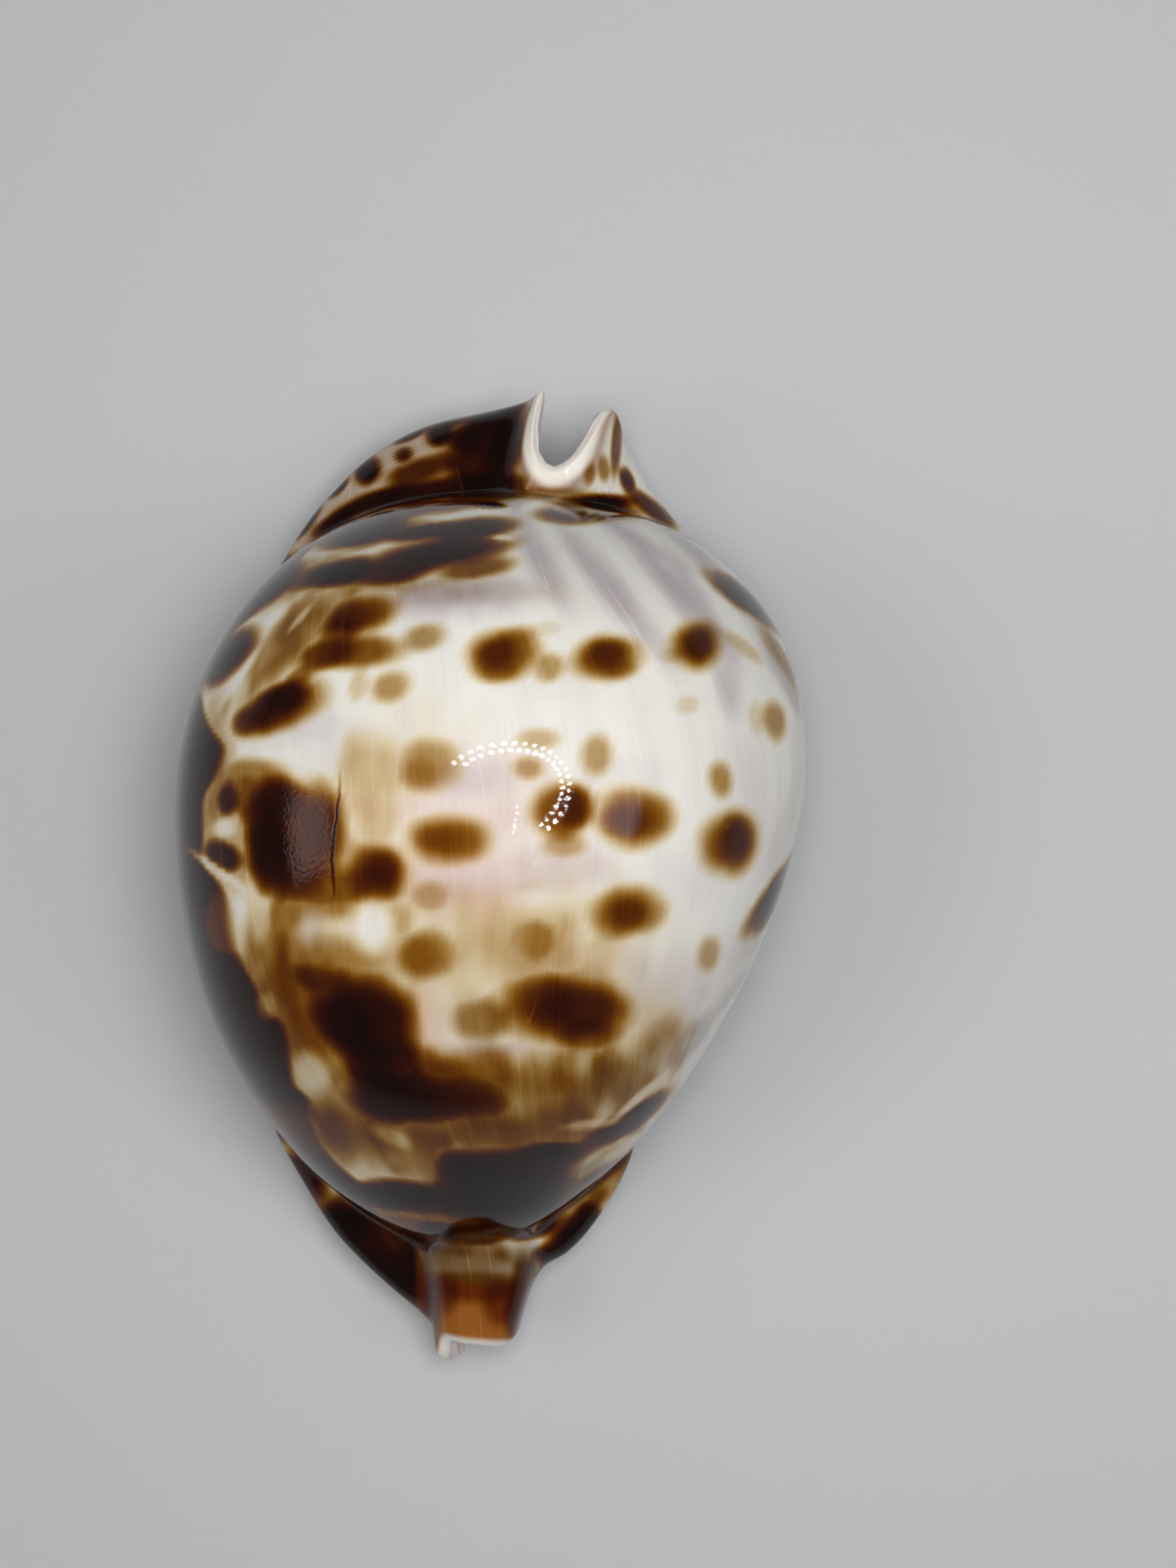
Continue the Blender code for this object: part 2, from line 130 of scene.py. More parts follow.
# The hollow narrows into a canal at each end
CANAL_HALF_WIDTH = (
    (-40, 1.9), (-37, 2.2), (-33, 2.9), (-31, 3.4), (-29.5, 4.4), (-28, 6.2), (-25, 9.8), (-20, 15.5),
    (-15, 26.0), (0, 40.0), (18, 28.0), (24, 18.5), (28, 12.6), (29.5, 9.2), (30.7, 5.8), (32, 3.6),
    (34, 2.8), (36, 2.7), (40, 2.8),
)
CANAL_HEIGHT = (
    (-40, 2.4), (-33, 2.8), (-31, 3.2), (-29.5, 4.4), (-28, 6.0), (-25, 9.6), (-20, 15.0),
    (-15, 26.0), (0, 40.0), (18, 28.0), (24, 18.5), (28, 12.6), (29.5, 9.6), (30.7, 6.8), (32, 5.6),
    (34, 5.4), (40, 5.6),
)
CANAL_DOWN = 40.0
CANAL_POWER = 2.3
CANAL_BLEND = 1.2

# The lips. Depth is how thick the wall is behind a lip, shared out by the turn from straight down.
GAP = (
    (-40, 1.4), (-38.5, 2.4), (-36.5, 4.0), (-33, 5.4), (-26, 6.2), (-14, 5.4), (6, 5.0), (22, 4.8),
    (30, 4.4), (40, 4.2),
)
LIP_SETBACK = ((-40, 0.8), (-33, 1.2), (-24, 2.4), (0, 3.0), (22, 2.6), (32, 1.3), (40, 0.8))
OUTER_LIP_DEPTH = ((-40, 1.6), (-33, 2.2), (-20, 4.4), (0, 5.0), (22, 4.4), (32, 2.6), (40, 1.6))
OUTER_LIP_SHARE = ((0, 1.0), (34, 1.0), (50, 0.75), (64, 0.5), (84, 0.36), (100, 0.3))
COLUMELLA_DEPTH = (
    (-40, 1.6), (-33, 2.4), (-24, 6.0), (-14, 10.0), (4, 12.0), (18, 10.5), (26, 6.0), (33, 3.0), (40, 1.8),
)
COLUMELLA_SHARE = (
    (0, 0.45), (22, 0.5), (36, 0.85), (50, 1.0), (64, 0.68), (80, 0.26), (98, 0.14), (115, 0.1),
)
LIP_CLEARANCE = 0.35

# Teeth: a row along the outer lip, and a few weak ones at the front of the columella
TOOTH_COUNT = 22
TOOTH_PITCH = 2.85
FIRST_TOOTH_Y = -31.5
TOOTH_HEIGHT = 0.7
GROOVE_DEPTH = 0.5
TOOTH_LENGTH = 4.5
COLUMELLA_TEETH = ((-40, 0.5), (-22, 0.5), (-12, 0.0), (40, 0.0))

# Where the shell ends at the front and the back, by the turn in degrees
FRONT_END_Y = (
    (0, -39.4), (30, -40.3), (55, -40.7), (82, -40.6), (104, -39.9), (122, -38.9), (142, -38.4),
    (180, -38.4), (230, -38.5), (275, -38.3), (305, -37.6), (360, -37.2),
)
BACK_END_Y = (
    (0, 36.6), (60, 38.4), (110, 39.5), (150, 40.0), (155, 39.3), (160, 37.0), (166, 34.9), (180, 33.6),
    (193, 34.6), (200, 36.0), (207, 37.8), (214, 38.7), (222, 38.9), (236, 38.2), (255, 37.2), (310, 36.2),
    (360, 35.4),
)
FRONT_STRETCH_Y = -30.0
BACK_STRETCH_Y = 26.0
NOMINAL_FRONT_Y = -38.5
NOMINAL_BACK_Y = 38.0
RIM_ROUND = 0.9
RIM_EDGE = 0.3

# How finely the outer face is searched for, and how fine the mesh is
REACH_STEP = 0.8
OUTER_POINTS = 261
INNER_POINTS = 45
LIP_POINTS = 11
STATIONS_PER_TOOTH = 8
END_STATIONS = 50


def keyed(at, keys):
    """The value at each place of a smooth curve through the keys, with no overshoot between them."""
    places, values = np.array(keys, float).T
    steps = np.diff(places)
    slopes = np.diff(values) / steps
    before, after = slopes[:-1], slopes[1:]
    same_way = before * after > 0
    first = 2 * steps[1:] + steps[:-1]
    second = steps[1:] + 2 * steps[:-1]
    weighed = first / np.where(same_way, before, 1) + second / np.where(same_way, after, 1)
    mean = (first + second) / weighed
    tangents = np.concatenate([slopes[:1], np.where(same_way, mean, 0), slopes[-1:]])
    x = np.clip(at, places[0], places[-1])
    i = np.clip(np.searchsorted(places, x, side="right") - 1, 0, len(steps) - 1)
    t = (x - places[i]) / steps[i]
    start = (1 + 2 * t) * (1 - t) ** 2 * values[i] + t * (1 - t) ** 2 * steps[i] * tangents[i]
    end = t * t * (3 - 2 * t) * values[i + 1] + t * t * (t - 1) * steps[i] * tangents[i + 1]
    return start + end


def fade(value, full, none):
    """1 up to full, 0 from none on, and a smooth step between."""
    t = np.clip((value - full) / (none - full), 0, 1)
    return 1 - t * t * (3 - 2 * t)


def soft_min(a, b, width):
    """The smaller of two distances, rounded off where they are within width of each other."""
    near = np.maximum(width - np.abs(a - b), 0) / width
    return np.minimum(a, b) - near * near * width / 4


def egg(y):
    """How swollen the whorl is at y: 1 at the crown and 0 at either end."""
    forward = np.clip((CROWN_Y - y) / (CROWN_Y - WHORL_FRONT_Y), 0, 1)
    backward = np.clip((y - CROWN_Y) / (WHORL_BACK_Y - CROWN_Y), 0, 1)
    front = (1 - forward ** FRONT_POWERS[0]) ** (1 / FRONT_POWERS[1])
    back = (1 - backward ** BACK_POWERS[0]) ** (1 / BACK_POWERS[1])
    return np.where(y < CROWN_Y, front, back)


def oval_distance(x, z, left, right, up, down, upper_power, lower_power):
    """How far a point is outside an oval about the origin whose four quarters are unlike."""
    half = np.maximum(np.where(x < 0, left, right), 0.01)
    tall = np.maximum(np.where(z > 0, up, down), 0.01)
    power = np.where(z > 0, upper_power, lower_power)
    size = (np.abs(x / half) ** power + np.abs(z / tall) ** power) ** (1 / power)
    return np.hypot(x, z) * (1 - 1 / np.maximum(size, 1e-6))


def outside(x, y, z):
    """How far the point is outside the shell's outer form, within its own section."""
    middle_z = keyed(y, MIDDLE_Z)
    base_z = keyed(y, BASE_Z)
    aperture_x = keyed(y, APERTURE_X)
    swell = egg(y)
    crown_rise = HEIGHT - keyed(CROWN_Y, MIDDLE_Z)
    whorl = oval_distance(
        x - keyed(y, WHORL_MIDDLE_X), z - middle_z,
        WIDTH / 2 * swell, WIDTH / 2 * swell, crown_rise * swell, middle_z - base_z,
        WHORL_UPPER_POWER, WHORL_LOWER_POWER,
    )
    margin_z = keyed(y, MARGIN_MIDDLE_Z)
    margin = oval_distance(
        x - aperture_x, z - margin_z,
        aperture_x - keyed(y, MARGIN_LEFT_X), keyed(y, MARGIN_RIGHT_X) - aperture_x,
        keyed(y, MARGIN_TOP_Z) - margin_z, margin_z - base_z,
        MARGIN_UPPER_POWER, MARGIN_LOWER_POWER,
    )
    spout = oval_distance(
        x - aperture_x, z - middle_z,
        keyed(y, SPOUT_LEFT), keyed(y, SPOUT_RIGHT),
        keyed(y, SPOUT_TOP_Z) - middle_z, middle_z - base_z,
        SPOUT_POWER, SPOUT_POWER,
    )
    return soft_min(soft_min(whorl, margin, WHORL_BLEND), spout, SPOUT_BLEND)


def towards(turn):
    """The X and Z of the direction at a turn."""
    return -np.sin(turn), -np.cos(turn)


def lip_turn_at(y):
    """The turn at which the outer face ends at a lip."""
    return np.arctan2(keyed(y, GAP) / 2 + keyed(y, LIP_SETBACK), keyed(y, MIDDLE_Z) - keyed(y, BASE_Z))


def outer_reach(turn, y):
    """How far the outer face is from the aperture's line: the last place that is still inside."""
    way_x, way_z = towards(turn)
    centre_x, centre_z = keyed(y, APERTURE_X), keyed(y, MIDDLE_Z)
    low = np.zeros(np.broadcast(turn, y).shape)
    for reach in np.arange(REACH_STEP, WIDTH * 0.7, REACH_STEP):
        inside = outside(centre_x + reach * way_x, y, centre_z + reach * way_z) < 0
        low = np.where(inside, reach, low)
    high = low + REACH_STEP
    for _ in range(16):
        half = (low + high) / 2
        inside = outside(centre_x + half * way_x, y, centre_z + half * way_z) < 0
        low, high = np.where(inside, half, low), np.where(inside, high, half)
    across = (centre_x + low * way_x - SPIRE_X) / SPIRE_HALF_LENGTH
    along = (y - SPIRE_Y) / SPIRE_HALF_WIDTH
    pit = SPIRE_DEPTH * np.exp(-across ** 4 - along ** 2) * (way_z > 0)
    return low - pit


def inner_reach(turn, y, outer):
    """How far the face of the hollow is from the aperture's line."""
    from_left, from_right = turn, 2 * math.pi - turn
    outer_lip = keyed(y, OUTER_LIP_DEPTH) * keyed(np.degrees(from_left), OUTER_LIP_SHARE)
    columella = keyed(y, COLUMELLA_DEPTH) * keyed(np.degrees(from_right), COLUMELLA_SHARE)
    wall = np.maximum(keyed(y, WALL), np.where(turn < math.pi, outer_lip, columella))
    way_x, way_z = towards(turn)
    canal_across = np.abs(way_x) / keyed(y, CANAL_HALF_WIDTH)
    canal_tall = np.abs(way_z) / np.where(way_z > 0, keyed(y, CANAL_HEIGHT), CANAL_DOWN)
    canal = (canal_across ** CANAL_POWER + canal_tall ** CANAL_POWER) ** (-1 / CANAL_POWER)
    clear_of_gap = np.where(way_z < 0, (keyed(y, GAP) / 2 + LIP_CLEARANCE) / np.abs(way_x).clip(0.05), 0)
    reach = np.maximum(outer - wall, clear_of_gap)
    reach = soft_min(reach, canal, CANAL_BLEND)
    return np.clip(reach, 0.3, outer - LEAST_WALL)


def stretched(y, turn):
    """Moves the stations near an end so that the last one lies on the shell's own edge."""
    degrees = np.degrees(turn)
    front_share = np.clip((FRONT_STRETCH_Y - y) / (FRONT_STRETCH_Y - NOMINAL_FRONT_Y), 0, 1)
    back_share = np.clip((y - BACK_STRETCH_Y) / (NOMINAL_BACK_Y - BACK_STRETCH_Y), 0, 1)
    to_front = FRONT_STRETCH_Y + front_share * (keyed(degrees, FRONT_END_Y) - FRONT_STRETCH_Y)
    to_back = BACK_STRETCH_Y + back_share * (keyed(degrees, BACK_END_Y) - BACK_STRETCH_Y)
    return np.where(y < FRONT_STRETCH_Y, to_front, np.where(y > BACK_STRETCH_Y, to_back, y))


def rim_share(y, turn):
    """The share of the wall's thickness that is left near the shell's two ends."""
    degrees = np.degrees(turn)
    room = np.minimum(y - keyed(degrees, FRONT_END_Y), keyed(degrees, BACK_END_Y) - y)
    s = np.clip(1 - room / RIM_ROUND, 0, 1)
    return np.maximum(np.sqrt(1 - s * s), RIM_EDGE)


def stations():
    """Nominal places of the sections: even along the teeth and closer at the ends."""
    toothed_count = (TOOTH_COUNT - 1) * STATIONS_PER_TOOTH + 1
    toothed = FIRST_TOOTH_Y + np.arange(toothed_count) * TOOTH_PITCH / STATIONS_PER_TOOTH
    ease = np.sin(np.linspace(0, math.pi / 2, END_STATIONS + 1))[1:]
    front = toothed[0] + ease * (NOMINAL_FRONT_Y - toothed[0])
    back = toothed[-1] + ease * (NOMINAL_BACK_Y - toothed[-1])
    return np.concatenate([front[::-1], toothed, back])


def between_teeth(y):
    """1 between two teeth and 0 on the crest of one or beyond the row."""
    turns = (y - FIRST_TOOTH_Y) / TOOTH_PITCH
    in_row = (turns > 0) & (turns < TOOTH_COUNT - 1)
    return np.where(in_row, 0.5 - 0.5 * np.cos(2 * math.pi * turns), 0)


def faces_at(turn, nominal_y, lip_turn):
    """The reach of the outer face and of the hollow, and the place along Y, at a turn."""
    y = stretched(nominal_y, turn)
    outer = outer_reach(turn, y)
    inner = inner_reach(turn, y, outer)
    from_outer_lip = outer * (turn - lip_turn)
    from_columella_lip = outer * (2 * math.pi - lip_turn - turn)
    groove = fade(from_outer_lip, 0.3, TOOTH_LENGTH)
    groove = groove + keyed(y, COLUMELLA_TEETH) * fade(from_columella_lip, 0.3, TOOTH_LENGTH)
    outer = outer - GROOVE_DEPTH * groove * between_teeth(nominal_y)
    middle, half = (outer + inner) / 2, (outer - inner) / 2
    half = half * rim_share(y, turn)
    return middle + half, middle - half, y


def lip_points(start, end, edge, y):
    """Points round a lip from the outer face to the hollow, at most as far as the gap's edge."""
    angle = np.linspace(0, math.pi, LIP_POINTS + 2)[1:-1, None]
    side = np.sign(edge)
    middle_x, half_x = (start[0] + end[0]) / 2, (start[0] - end[0]) / 2
    middle_z, half_z = (start[1] + end[1]) / 2, (start[1] - end[1]) / 2
    bulge = np.maximum(side * (middle_x - edge), 0.15)
    x = middle_x + half_x * np.cos(angle) - side * bulge * np.sin(angle)
    z = middle_z + half_z * np.cos(angle)
    return x, z, y + 0 * angle


def section_loops():
    """The loops of points, as X, Y and Z with a row for each place round the loop."""
    nominal_y = stations()[None, :]
    lip_turn = lip_turn_at(nominal_y)
    span = 2 * math.pi - 2 * lip_turn
    outer_turn = lip_turn + np.linspace(0, 1, OUTER_POINTS)[:, None] * span
    inner_turn = lip_turn + np.linspace(1, 0, INNER_POINTS)[:, None] * span
    outer_r, _, outer_y = faces_at(outer_turn, nominal_y, lip_turn)
    _, inner_r, inner_y = faces_at(inner_turn, nominal_y, lip_turn)
    outer_x, outer_z = [outer_r * way for way in towards(outer_turn)]
    inner_x, inner_z = [inner_r * way for way in towards(inner_turn)]

    notch = between_teeth(nominal_y) * TOOTH_HEIGHT
    half_gap = keyed(nominal_y, GAP) / 2
    right_edge = half_gap + notch * keyed(nominal_y, COLUMELLA_TEETH)
    left_edge = -(half_gap + notch)
    right_lip = lip_points((outer_x[-1], outer_z[-1]), (inner_x[0], inner_z[0]), right_edge, inner_y[:1])
    left_lip = lip_points((inner_x[-1], inner_z[-1]), (outer_x[0], outer_z[0]), left_edge, outer_y[:1])

    x = np.concatenate([outer_x, right_lip[0], inner_x, left_lip[0]])
    z = np.concatenate([outer_z, right_lip[1], inner_z, left_lip[1]])
    y = np.concatenate([outer_y, right_lip[2], inner_y, left_lip[2]])
    x = x + keyed(y, APERTURE_X)
    z = np.maximum(z + keyed(y, MIDDLE_Z), 0)
    return x, y, z


def cap_faces(corner):
    """Triangles that close one end. corner(i) is the vertex at place i of the end's loop."""
    faces = []
    inner_start = OUTER_POINTS + LIP_POINTS
    outer_at, inner_at = 0, INNER_POINTS - 1
    while outer_at < OUTER_POINTS - 1 or inner_at > 0:
        outer_share = (outer_at + 1) / (OUTER_POINTS - 1)
        inner_share = 1 - (inner_at - 1) / (INNER_POINTS - 1)
        pair = [corner(outer_at), corner(inner_start + inner_at)]
        if inner_at == 0 or (outer_at < OUTER_POINTS - 1 and outer_share <= inner_share):
            outer_at += 1
            faces.append([pair[0], corner(outer_at), pair[1]])
        else:
            inner_at -= 1
            faces.append([pair[0], corner(inner_start + inner_at), pair[1]])
    right_lip = list(range(OUTER_POINTS - 1, inner_start + 1))
    left_lip = list(range(inner_start + INNER_POINTS - 1, inner_start + INNER_POINTS + LIP_POINTS)) + [0]
    for lip in (right_lip, left_lip):
        low, high = 0, len(lip) - 1
        while high - low > 1:
            faces.append([corner(lip[low]), corner(lip[low + 1]), corner(lip[high])])
            low += 1
            if high - low > 1:
                faces.append([corner(lip[low]), corner(lip[high - 1]), corner(lip[high])])
                high -= 1
    return faces


# The photograph: its view of the shell, in its own pixels and in millimetres
PHOTO_CENTRE = (502.0, 895.0)
PHOTO_AXIS = (600.0, 800.0)
PHOTO_LONG_SIDE = 1600.0
MM_PER_PIXEL = 80.0 / 990.0
AXIS_RIGHT = (PHOTO_AXIS[0] - PHOTO_CENTRE[0]) * MM_PER_PIXEL
AXIS_UP = (PHOTO_CENTRE[1] - PHOTO_AXIS[1]) * MM_PER_PIXEL
SHELL_TILT = math.radians(5.0)
CAMERA_HEIGHT = 250.0
SCALE_HEIGHT = 9.0
SENSOR = 36.0
NEAREST_SEEN = 0.01

# Spots on the back: x, y, half width, half height (pixels), density, and any tilt clockwise (degrees)
SPOTS = (
    (512, 664, 35, 30, 0.54), (508, 664, 20, 16, 0.44), (530, 648, 20, 13, 0.2), (510, 684, 20, 12, 0.2),
    (618, 671, 34, 27, 0.54, 6), (620, 668, 20, 17, 0.44), (634, 682, 18, 12, 0.2),
    (711, 656, 24, 29, 0.56, -16), (714, 657, 14, 19, 0.5, -14), (685, 670, 12, 9, 0.1),
    (562, 683, 15, 17, 0.27, -14), (560, 640, 16, 10, 0.07), (700, 717, 13, 11, 0.1),
    (757, 660, 26, 8, 0.15, 38), (790, 735, 14, 24, 0.33, -10), (771, 730, 9, 20, 0.1, -10),
    (430, 652, 20, 17, 0.28), (398, 702, 22, 20, 0.3), (366, 700, 10, 20, 0.14),
    (364, 627, 35, 25, 0.58, -14), (360, 630, 22, 16, 0.4, -8), (345, 645, 20, 16, 0.45),
    (370, 664, 42, 20, 0.5), (330, 668, 32, 18, 0.62, -10), (305, 688, 18, 12, 0.4, -30),
    (279, 721, 52, 26, 0.74, -20), (288, 712, 30, 17, 0.8, -16), (254, 733, 22, 16, 0.5, -16),
    (228, 674, 40, 24, 1.0, -56), (262, 606, 50, 24, 1.0, -48), (345, 586, 40, 19, 1.0, -14),
    (437, 779, 38, 32, 0.3), (424, 790, 20, 18, 0.12), (547, 756, 25, 13, 0.2),
    (538, 783, 18, 14, 0.26, 8), (606, 768, 17, 24, 0.27, 4), (733, 797, 15, 22, 0.32, -12),
    (745, 859, 33, 37, 0.55, 24), (751, 854, 19, 26, 0.52, 10), (574, 827, 33, 32, 0.54),
    (586, 824, 19, 22, 0.5), (574, 862, 28, 14, 0.22), (646, 835, 44, 34, 0.52, 2),
    (636, 838, 30, 18, 0.35), (460, 857, 48, 27, 0.47), (452, 857, 28, 15, 0.2), (540, 905, 24, 8, 0.07),
    (641, 934, 40, 30, 0.5), (643, 931, 20, 16, 0.38), (546, 961, 36, 28, 0.32), (550, 962, 14, 26, 0.12),
    (612, 975, 20, 24, 0.15), (724, 975, 12, 22, 0.25), (437, 914, 22, 18, 0.22),
    (432, 972, 42, 32, 0.38), (425, 978, 24, 24, 0.2), (230, 815, 15, 21, 0.84), (255, 788, 42, 16, 0.35),
    (228, 873, 28, 18, 0.9, 20), (252, 820, 16, 26, 0.5), (296, 854, 60, 60, 0.62),
    (274, 864, 34, 50, 0.92), (284, 818, 32, 26, 0.8), (325, 846, 28, 46, 0.5), (340, 906, 70, 28, 0.5),
    (300, 902, 34, 20, 0.34), (387, 890, 38, 36, 0.55, 4), (390, 888, 22, 20, 0.5),
    (283, 940, 12, 26, 0.4), (302, 1010, 28, 46, 0.42, -6), (320, 994, 30, 18, 0.6, 6),
    (366, 1034, 56, 58, 0.66, 14), (354, 1042, 32, 42, 0.92, 10), (384, 1046, 38, 50, 0.74),
    (402, 1090, 38, 32, 0.8), (374, 1088, 26, 32, 0.85, 16), (430, 1124, 80, 35, 0.62),
    (404, 1124, 46, 30, 0.9), (472, 1118, 38, 34, 0.55), (580, 1028, 72, 46, 0.56, 4),
    (586, 1030, 42, 30, 0.56, 6), (604, 1056, 30, 20, 0.36), (552, 1023, 32, 28, 0.28),
    (483, 1039, 31, 28, 0.34), (480, 1205, 22, 42, 0.95), (520, 1196, 56, 34, 0.97, -4),
    (510, 1236, 54, 28, 0.97, 4), (520, 1216, 60, 22, 0.97), (548, 1230, 30, 24, 0.95, -40),
    (566, 1177, 28, 16, 0.97), (412, 1221, 30, 21, 1.0), (362, 1217, 42, 18, 1.0, 22),
    (448, 1256, 17, 15, 1.0), (484, 1266, 22, 9, 0.75), (645, 1143, 48, 16, 1.0, -42),
    (790, 916, 48, 15, 0.95, -63), (764, 612, 38, 13, 0.95, 52), (800, 672, 44, 9, 0.34, 64),
)

# Golden washes between the spots, the same way
WASHES = (
    (262, 985, 34, 72, 0.3, 16), (345, 975, 50, 30, 0.26), (300, 1030, 34, 60, 0.42, -10),
    (330, 1100, 60, 80, 0.28, -26), (345, 1165, 30, 50, 0.24, -36), (390, 1172, 70, 26, 0.24, 20),
    (432, 1088, 26, 18, 0.4), (470, 1100, 70, 22, 0.34), (580, 1118, 104, 50, 0.33),
    (650, 1092, 56, 36, 0.2, -30), (620, 1108, 34, 32, 0.12), (372, 815, 42, 52, 0.22),
    (450, 1205, 18, 54, 0.36), (500, 1156, 110, 26, 0.46), (612, 1176, 40, 16, 0.2, -34),
    (345, 926, 60, 18, 0.36), (285, 672, 56, 18, 0.38, -58), (312, 622, 46, 16, 0.32, -56),
    (316, 590, 36, 18, 0.4, -50), (385, 600, 34, 10, 0.24, -8), (300, 650, 60, 26, 0.22, -54),
    (440, 985, 150, 60, 0.13), (560, 965, 90, 60, 0.1), (480, 600, 60, 14, 0.05),
    (400, 1258, 84, 20, 0.6, 14), (600, 1010, 110, 70, 0.08), (420, 760, 60, 60, 0.04),
    (226, 845, 26, 70, 0.3), (215, 770, 24, 50, 0.3), (640, 1060, 60, 40, 0.12),
)

# Taupe spots that lie deep under the enamel
DEEP_SPOTS = (
    (312, 1100, 30, 50, 0.4, -24), (272, 1025, 18, 20, 0.3), (430, 652, 24, 18, 0.3),
    (440, 604, 46, 20, 0.46), (505, 606, 34, 16, 0.28), (485, 1039, 34, 28, 0.46),
    (441, 781, 44, 30, 0.1), (706, 1062, 14, 40, 0.8, 24), (746, 1014, 10, 36, 0.4, 26),
    (724, 977, 12, 24, 0.15, 4), (437, 912, 40, 20, 0.15), (640, 1100, 50, 30, 0.3, -30),
    (570, 1114, 100, 50, 0.26), (620, 1106, 26, 26, 0.3), (390, 1258, 90, 26, 0.85, 16),
    (583, 1202, 34, 16, 0.8, -24), (800, 690, 10, 50, 0.5, -26), (400, 1180, 90, 40, 0.22, 20),
    (480, 1150, 90, 20, 0.25), (460, 1230, 16, 50, 0.4), (300, 580, 24, 30, 0.3, 40),
    (800, 850, 12, 60, 0.22, 12), (770, 960, 14, 40, 0.3, 24),
)

# Where the enamel is lilac or pinkish rather than cream
LILAC_ZONES = (
    (440, 606, 44, 24, 1.0), (500, 606, 40, 24, 0.6), (310, 745, 60, 22, 0.5), (480, 800, 44, 20, 0.6),
    (480, 900, 60, 22, 0.25), (580, 890, 60, 24, 0.35), (700, 890, 44, 30, 0.25),
    (760, 800, 26, 56, 0.35), (780, 870, 16, 56, 0.25), (700, 1000, 44, 34, 0.35, 20),
    (760, 960, 20, 50, 0.3, 24), (495, 1068, 40, 10, 0.9), (660, 1020, 20, 34, 0.25),
    (316, 950, 15, 30, 0.7), (560, 700, 50, 16, 0.15), (640, 790, 50, 16, 0.2),
    (690, 1060, 24, 46, 0.5, 26), (335, 775, 30, 20, 0.35), (744, 690, 14, 40, 0.4, -6),
    (800, 690, 50, 10, 0.6, 66),
)

# Grey lilac bands that fan out from the spire, drawn as they are seen from above
SPIRE_BANDS = (
    (552, 574, 60, 15, 0.85, 60), (596, 572, 46, 7, 0.45, 56), (628, 606, 92, 15, 0.9, 52),
    (684, 596, 88, 13, 0.85, 50), (720, 622, 70, 10, 0.65, 58), (742, 600, 74, 10, 0.75, 47),
    (742, 700, 34, 14, 0.5, 74), (645, 548, 60, 7, 0.6, 30), (700, 556, 46, 6, 0.5, 40),
)

# Where it has a faint warm blush
BLUSH_ZONES = (
    (470, 905, 80, 34, 0.7), (500, 790, 60, 26, 0.4), (430, 826, 70, 14, 0.35), (590, 885, 50, 20, 0.35),
    (440, 1040, 20, 50, 0.7), (520, 1075, 40, 12, 0.4), (600, 985, 60, 20, 0.35),
    (500, 850, 130, 80, 0.34), (520, 835, 30, 20, 0.4), (600, 1160, 60, 20, 0.5, -20),
)

# Spots of the low margin and of the whorl's steep ends, drawn as they are seen from above
END_SPOTS = (
    (478, 540, 52, 12, 0.97, -6), (450, 564, 76, 16, 0.97, -8), (398, 583, 56, 16, 0.86, -10),
    (484, 580, 44, 12, 0.52, -8), (370, 543, 56, 17, 1.0, -14), (424, 542, 34, 11, 0.96, -10),
    (440, 514, 90, 13, 0.72, -8), (375, 481, 14, 17, 1.0, 24), (412, 464, 11, 9, 0.75, -20),
    (448, 443, 15, 13, 1.0, -36), (420, 441, 24, 8, 0.97, -28), (428, 480, 38, 14, 0.66, -18),
    (345, 497, 16, 6, 0.9, -50), (488, 440, 30, 18, 0.92, -20), (312, 532, 26, 8, 1.0, -54),
    (505, 421, 34, 11, 1.0, -14), (462, 430, 18, 7, 0.7, -24), (514, 452, 22, 50, 0.97, 12),
    (484, 474, 36, 28, 0.8, 10), (474, 452, 22, 14, 0.8, 20), (440, 500, 80, 13, 0.84, -8),
    (380, 512, 44, 10, 0.8, -18), (345, 530, 34, 9, 0.9, -30), (505, 494, 34, 16, 0.92),
    (602, 484, 7, 14, 0.34, 10), (616, 478, 7, 16, 0.38, -4), (629, 450, 6, 40, 0.6, 4),
    (664, 518, 36, 10, 0.74, 38), (640, 490, 8, 15, 0.8, -20), (612, 512, 40, 9, 1.0),
    (606, 521, 54, 12, 0.84, 2), (574, 528, 34, 8, 0.5, 6), (497, 515, 20, 4, 1.0, 4),
    (560, 503, 50, 7, 0.28), (596, 1213, 58, 9, 0.8, -39), (420, 1256, 90, 20, 0.62, 10),
    (502, 1253, 66, 12, 0.88), (548, 1252, 30, 12, 0.88, -20), (385, 1300, 60, 46, 1.0, 30),
    (350, 1255, 40, 40, 0.97, 36), (420, 1300, 24, 44, 0.95), (310, 1200, 24, 34, 0.9, -30),
    (588, 1264, 38, 28, 1.0, -40), (562, 1284, 22, 16, 0.9), (600, 1240, 16, 16, 0.85),
    (622, 1208, 30, 18, 0.3, -56), (622, 1184, 44, 13, 0.42, -34), (606, 1226, 20, 10, 0.45, -50),
)

# Darker parts of the front spout, the same way
ROSTRUM_SPOTS = (
    (484, 1312, 48, 20, 0.38), (512, 1328, 22, 28, 0.34, 8), (452, 1318, 18, 28, 0.3),
    (436, 1330, 12, 60, 0.5, -6), (532, 1320, 15, 60, 0.54, 8), (484, 1284, 60, 12, 0.2),
    (484, 1335, 60, 44, 0.13),
)

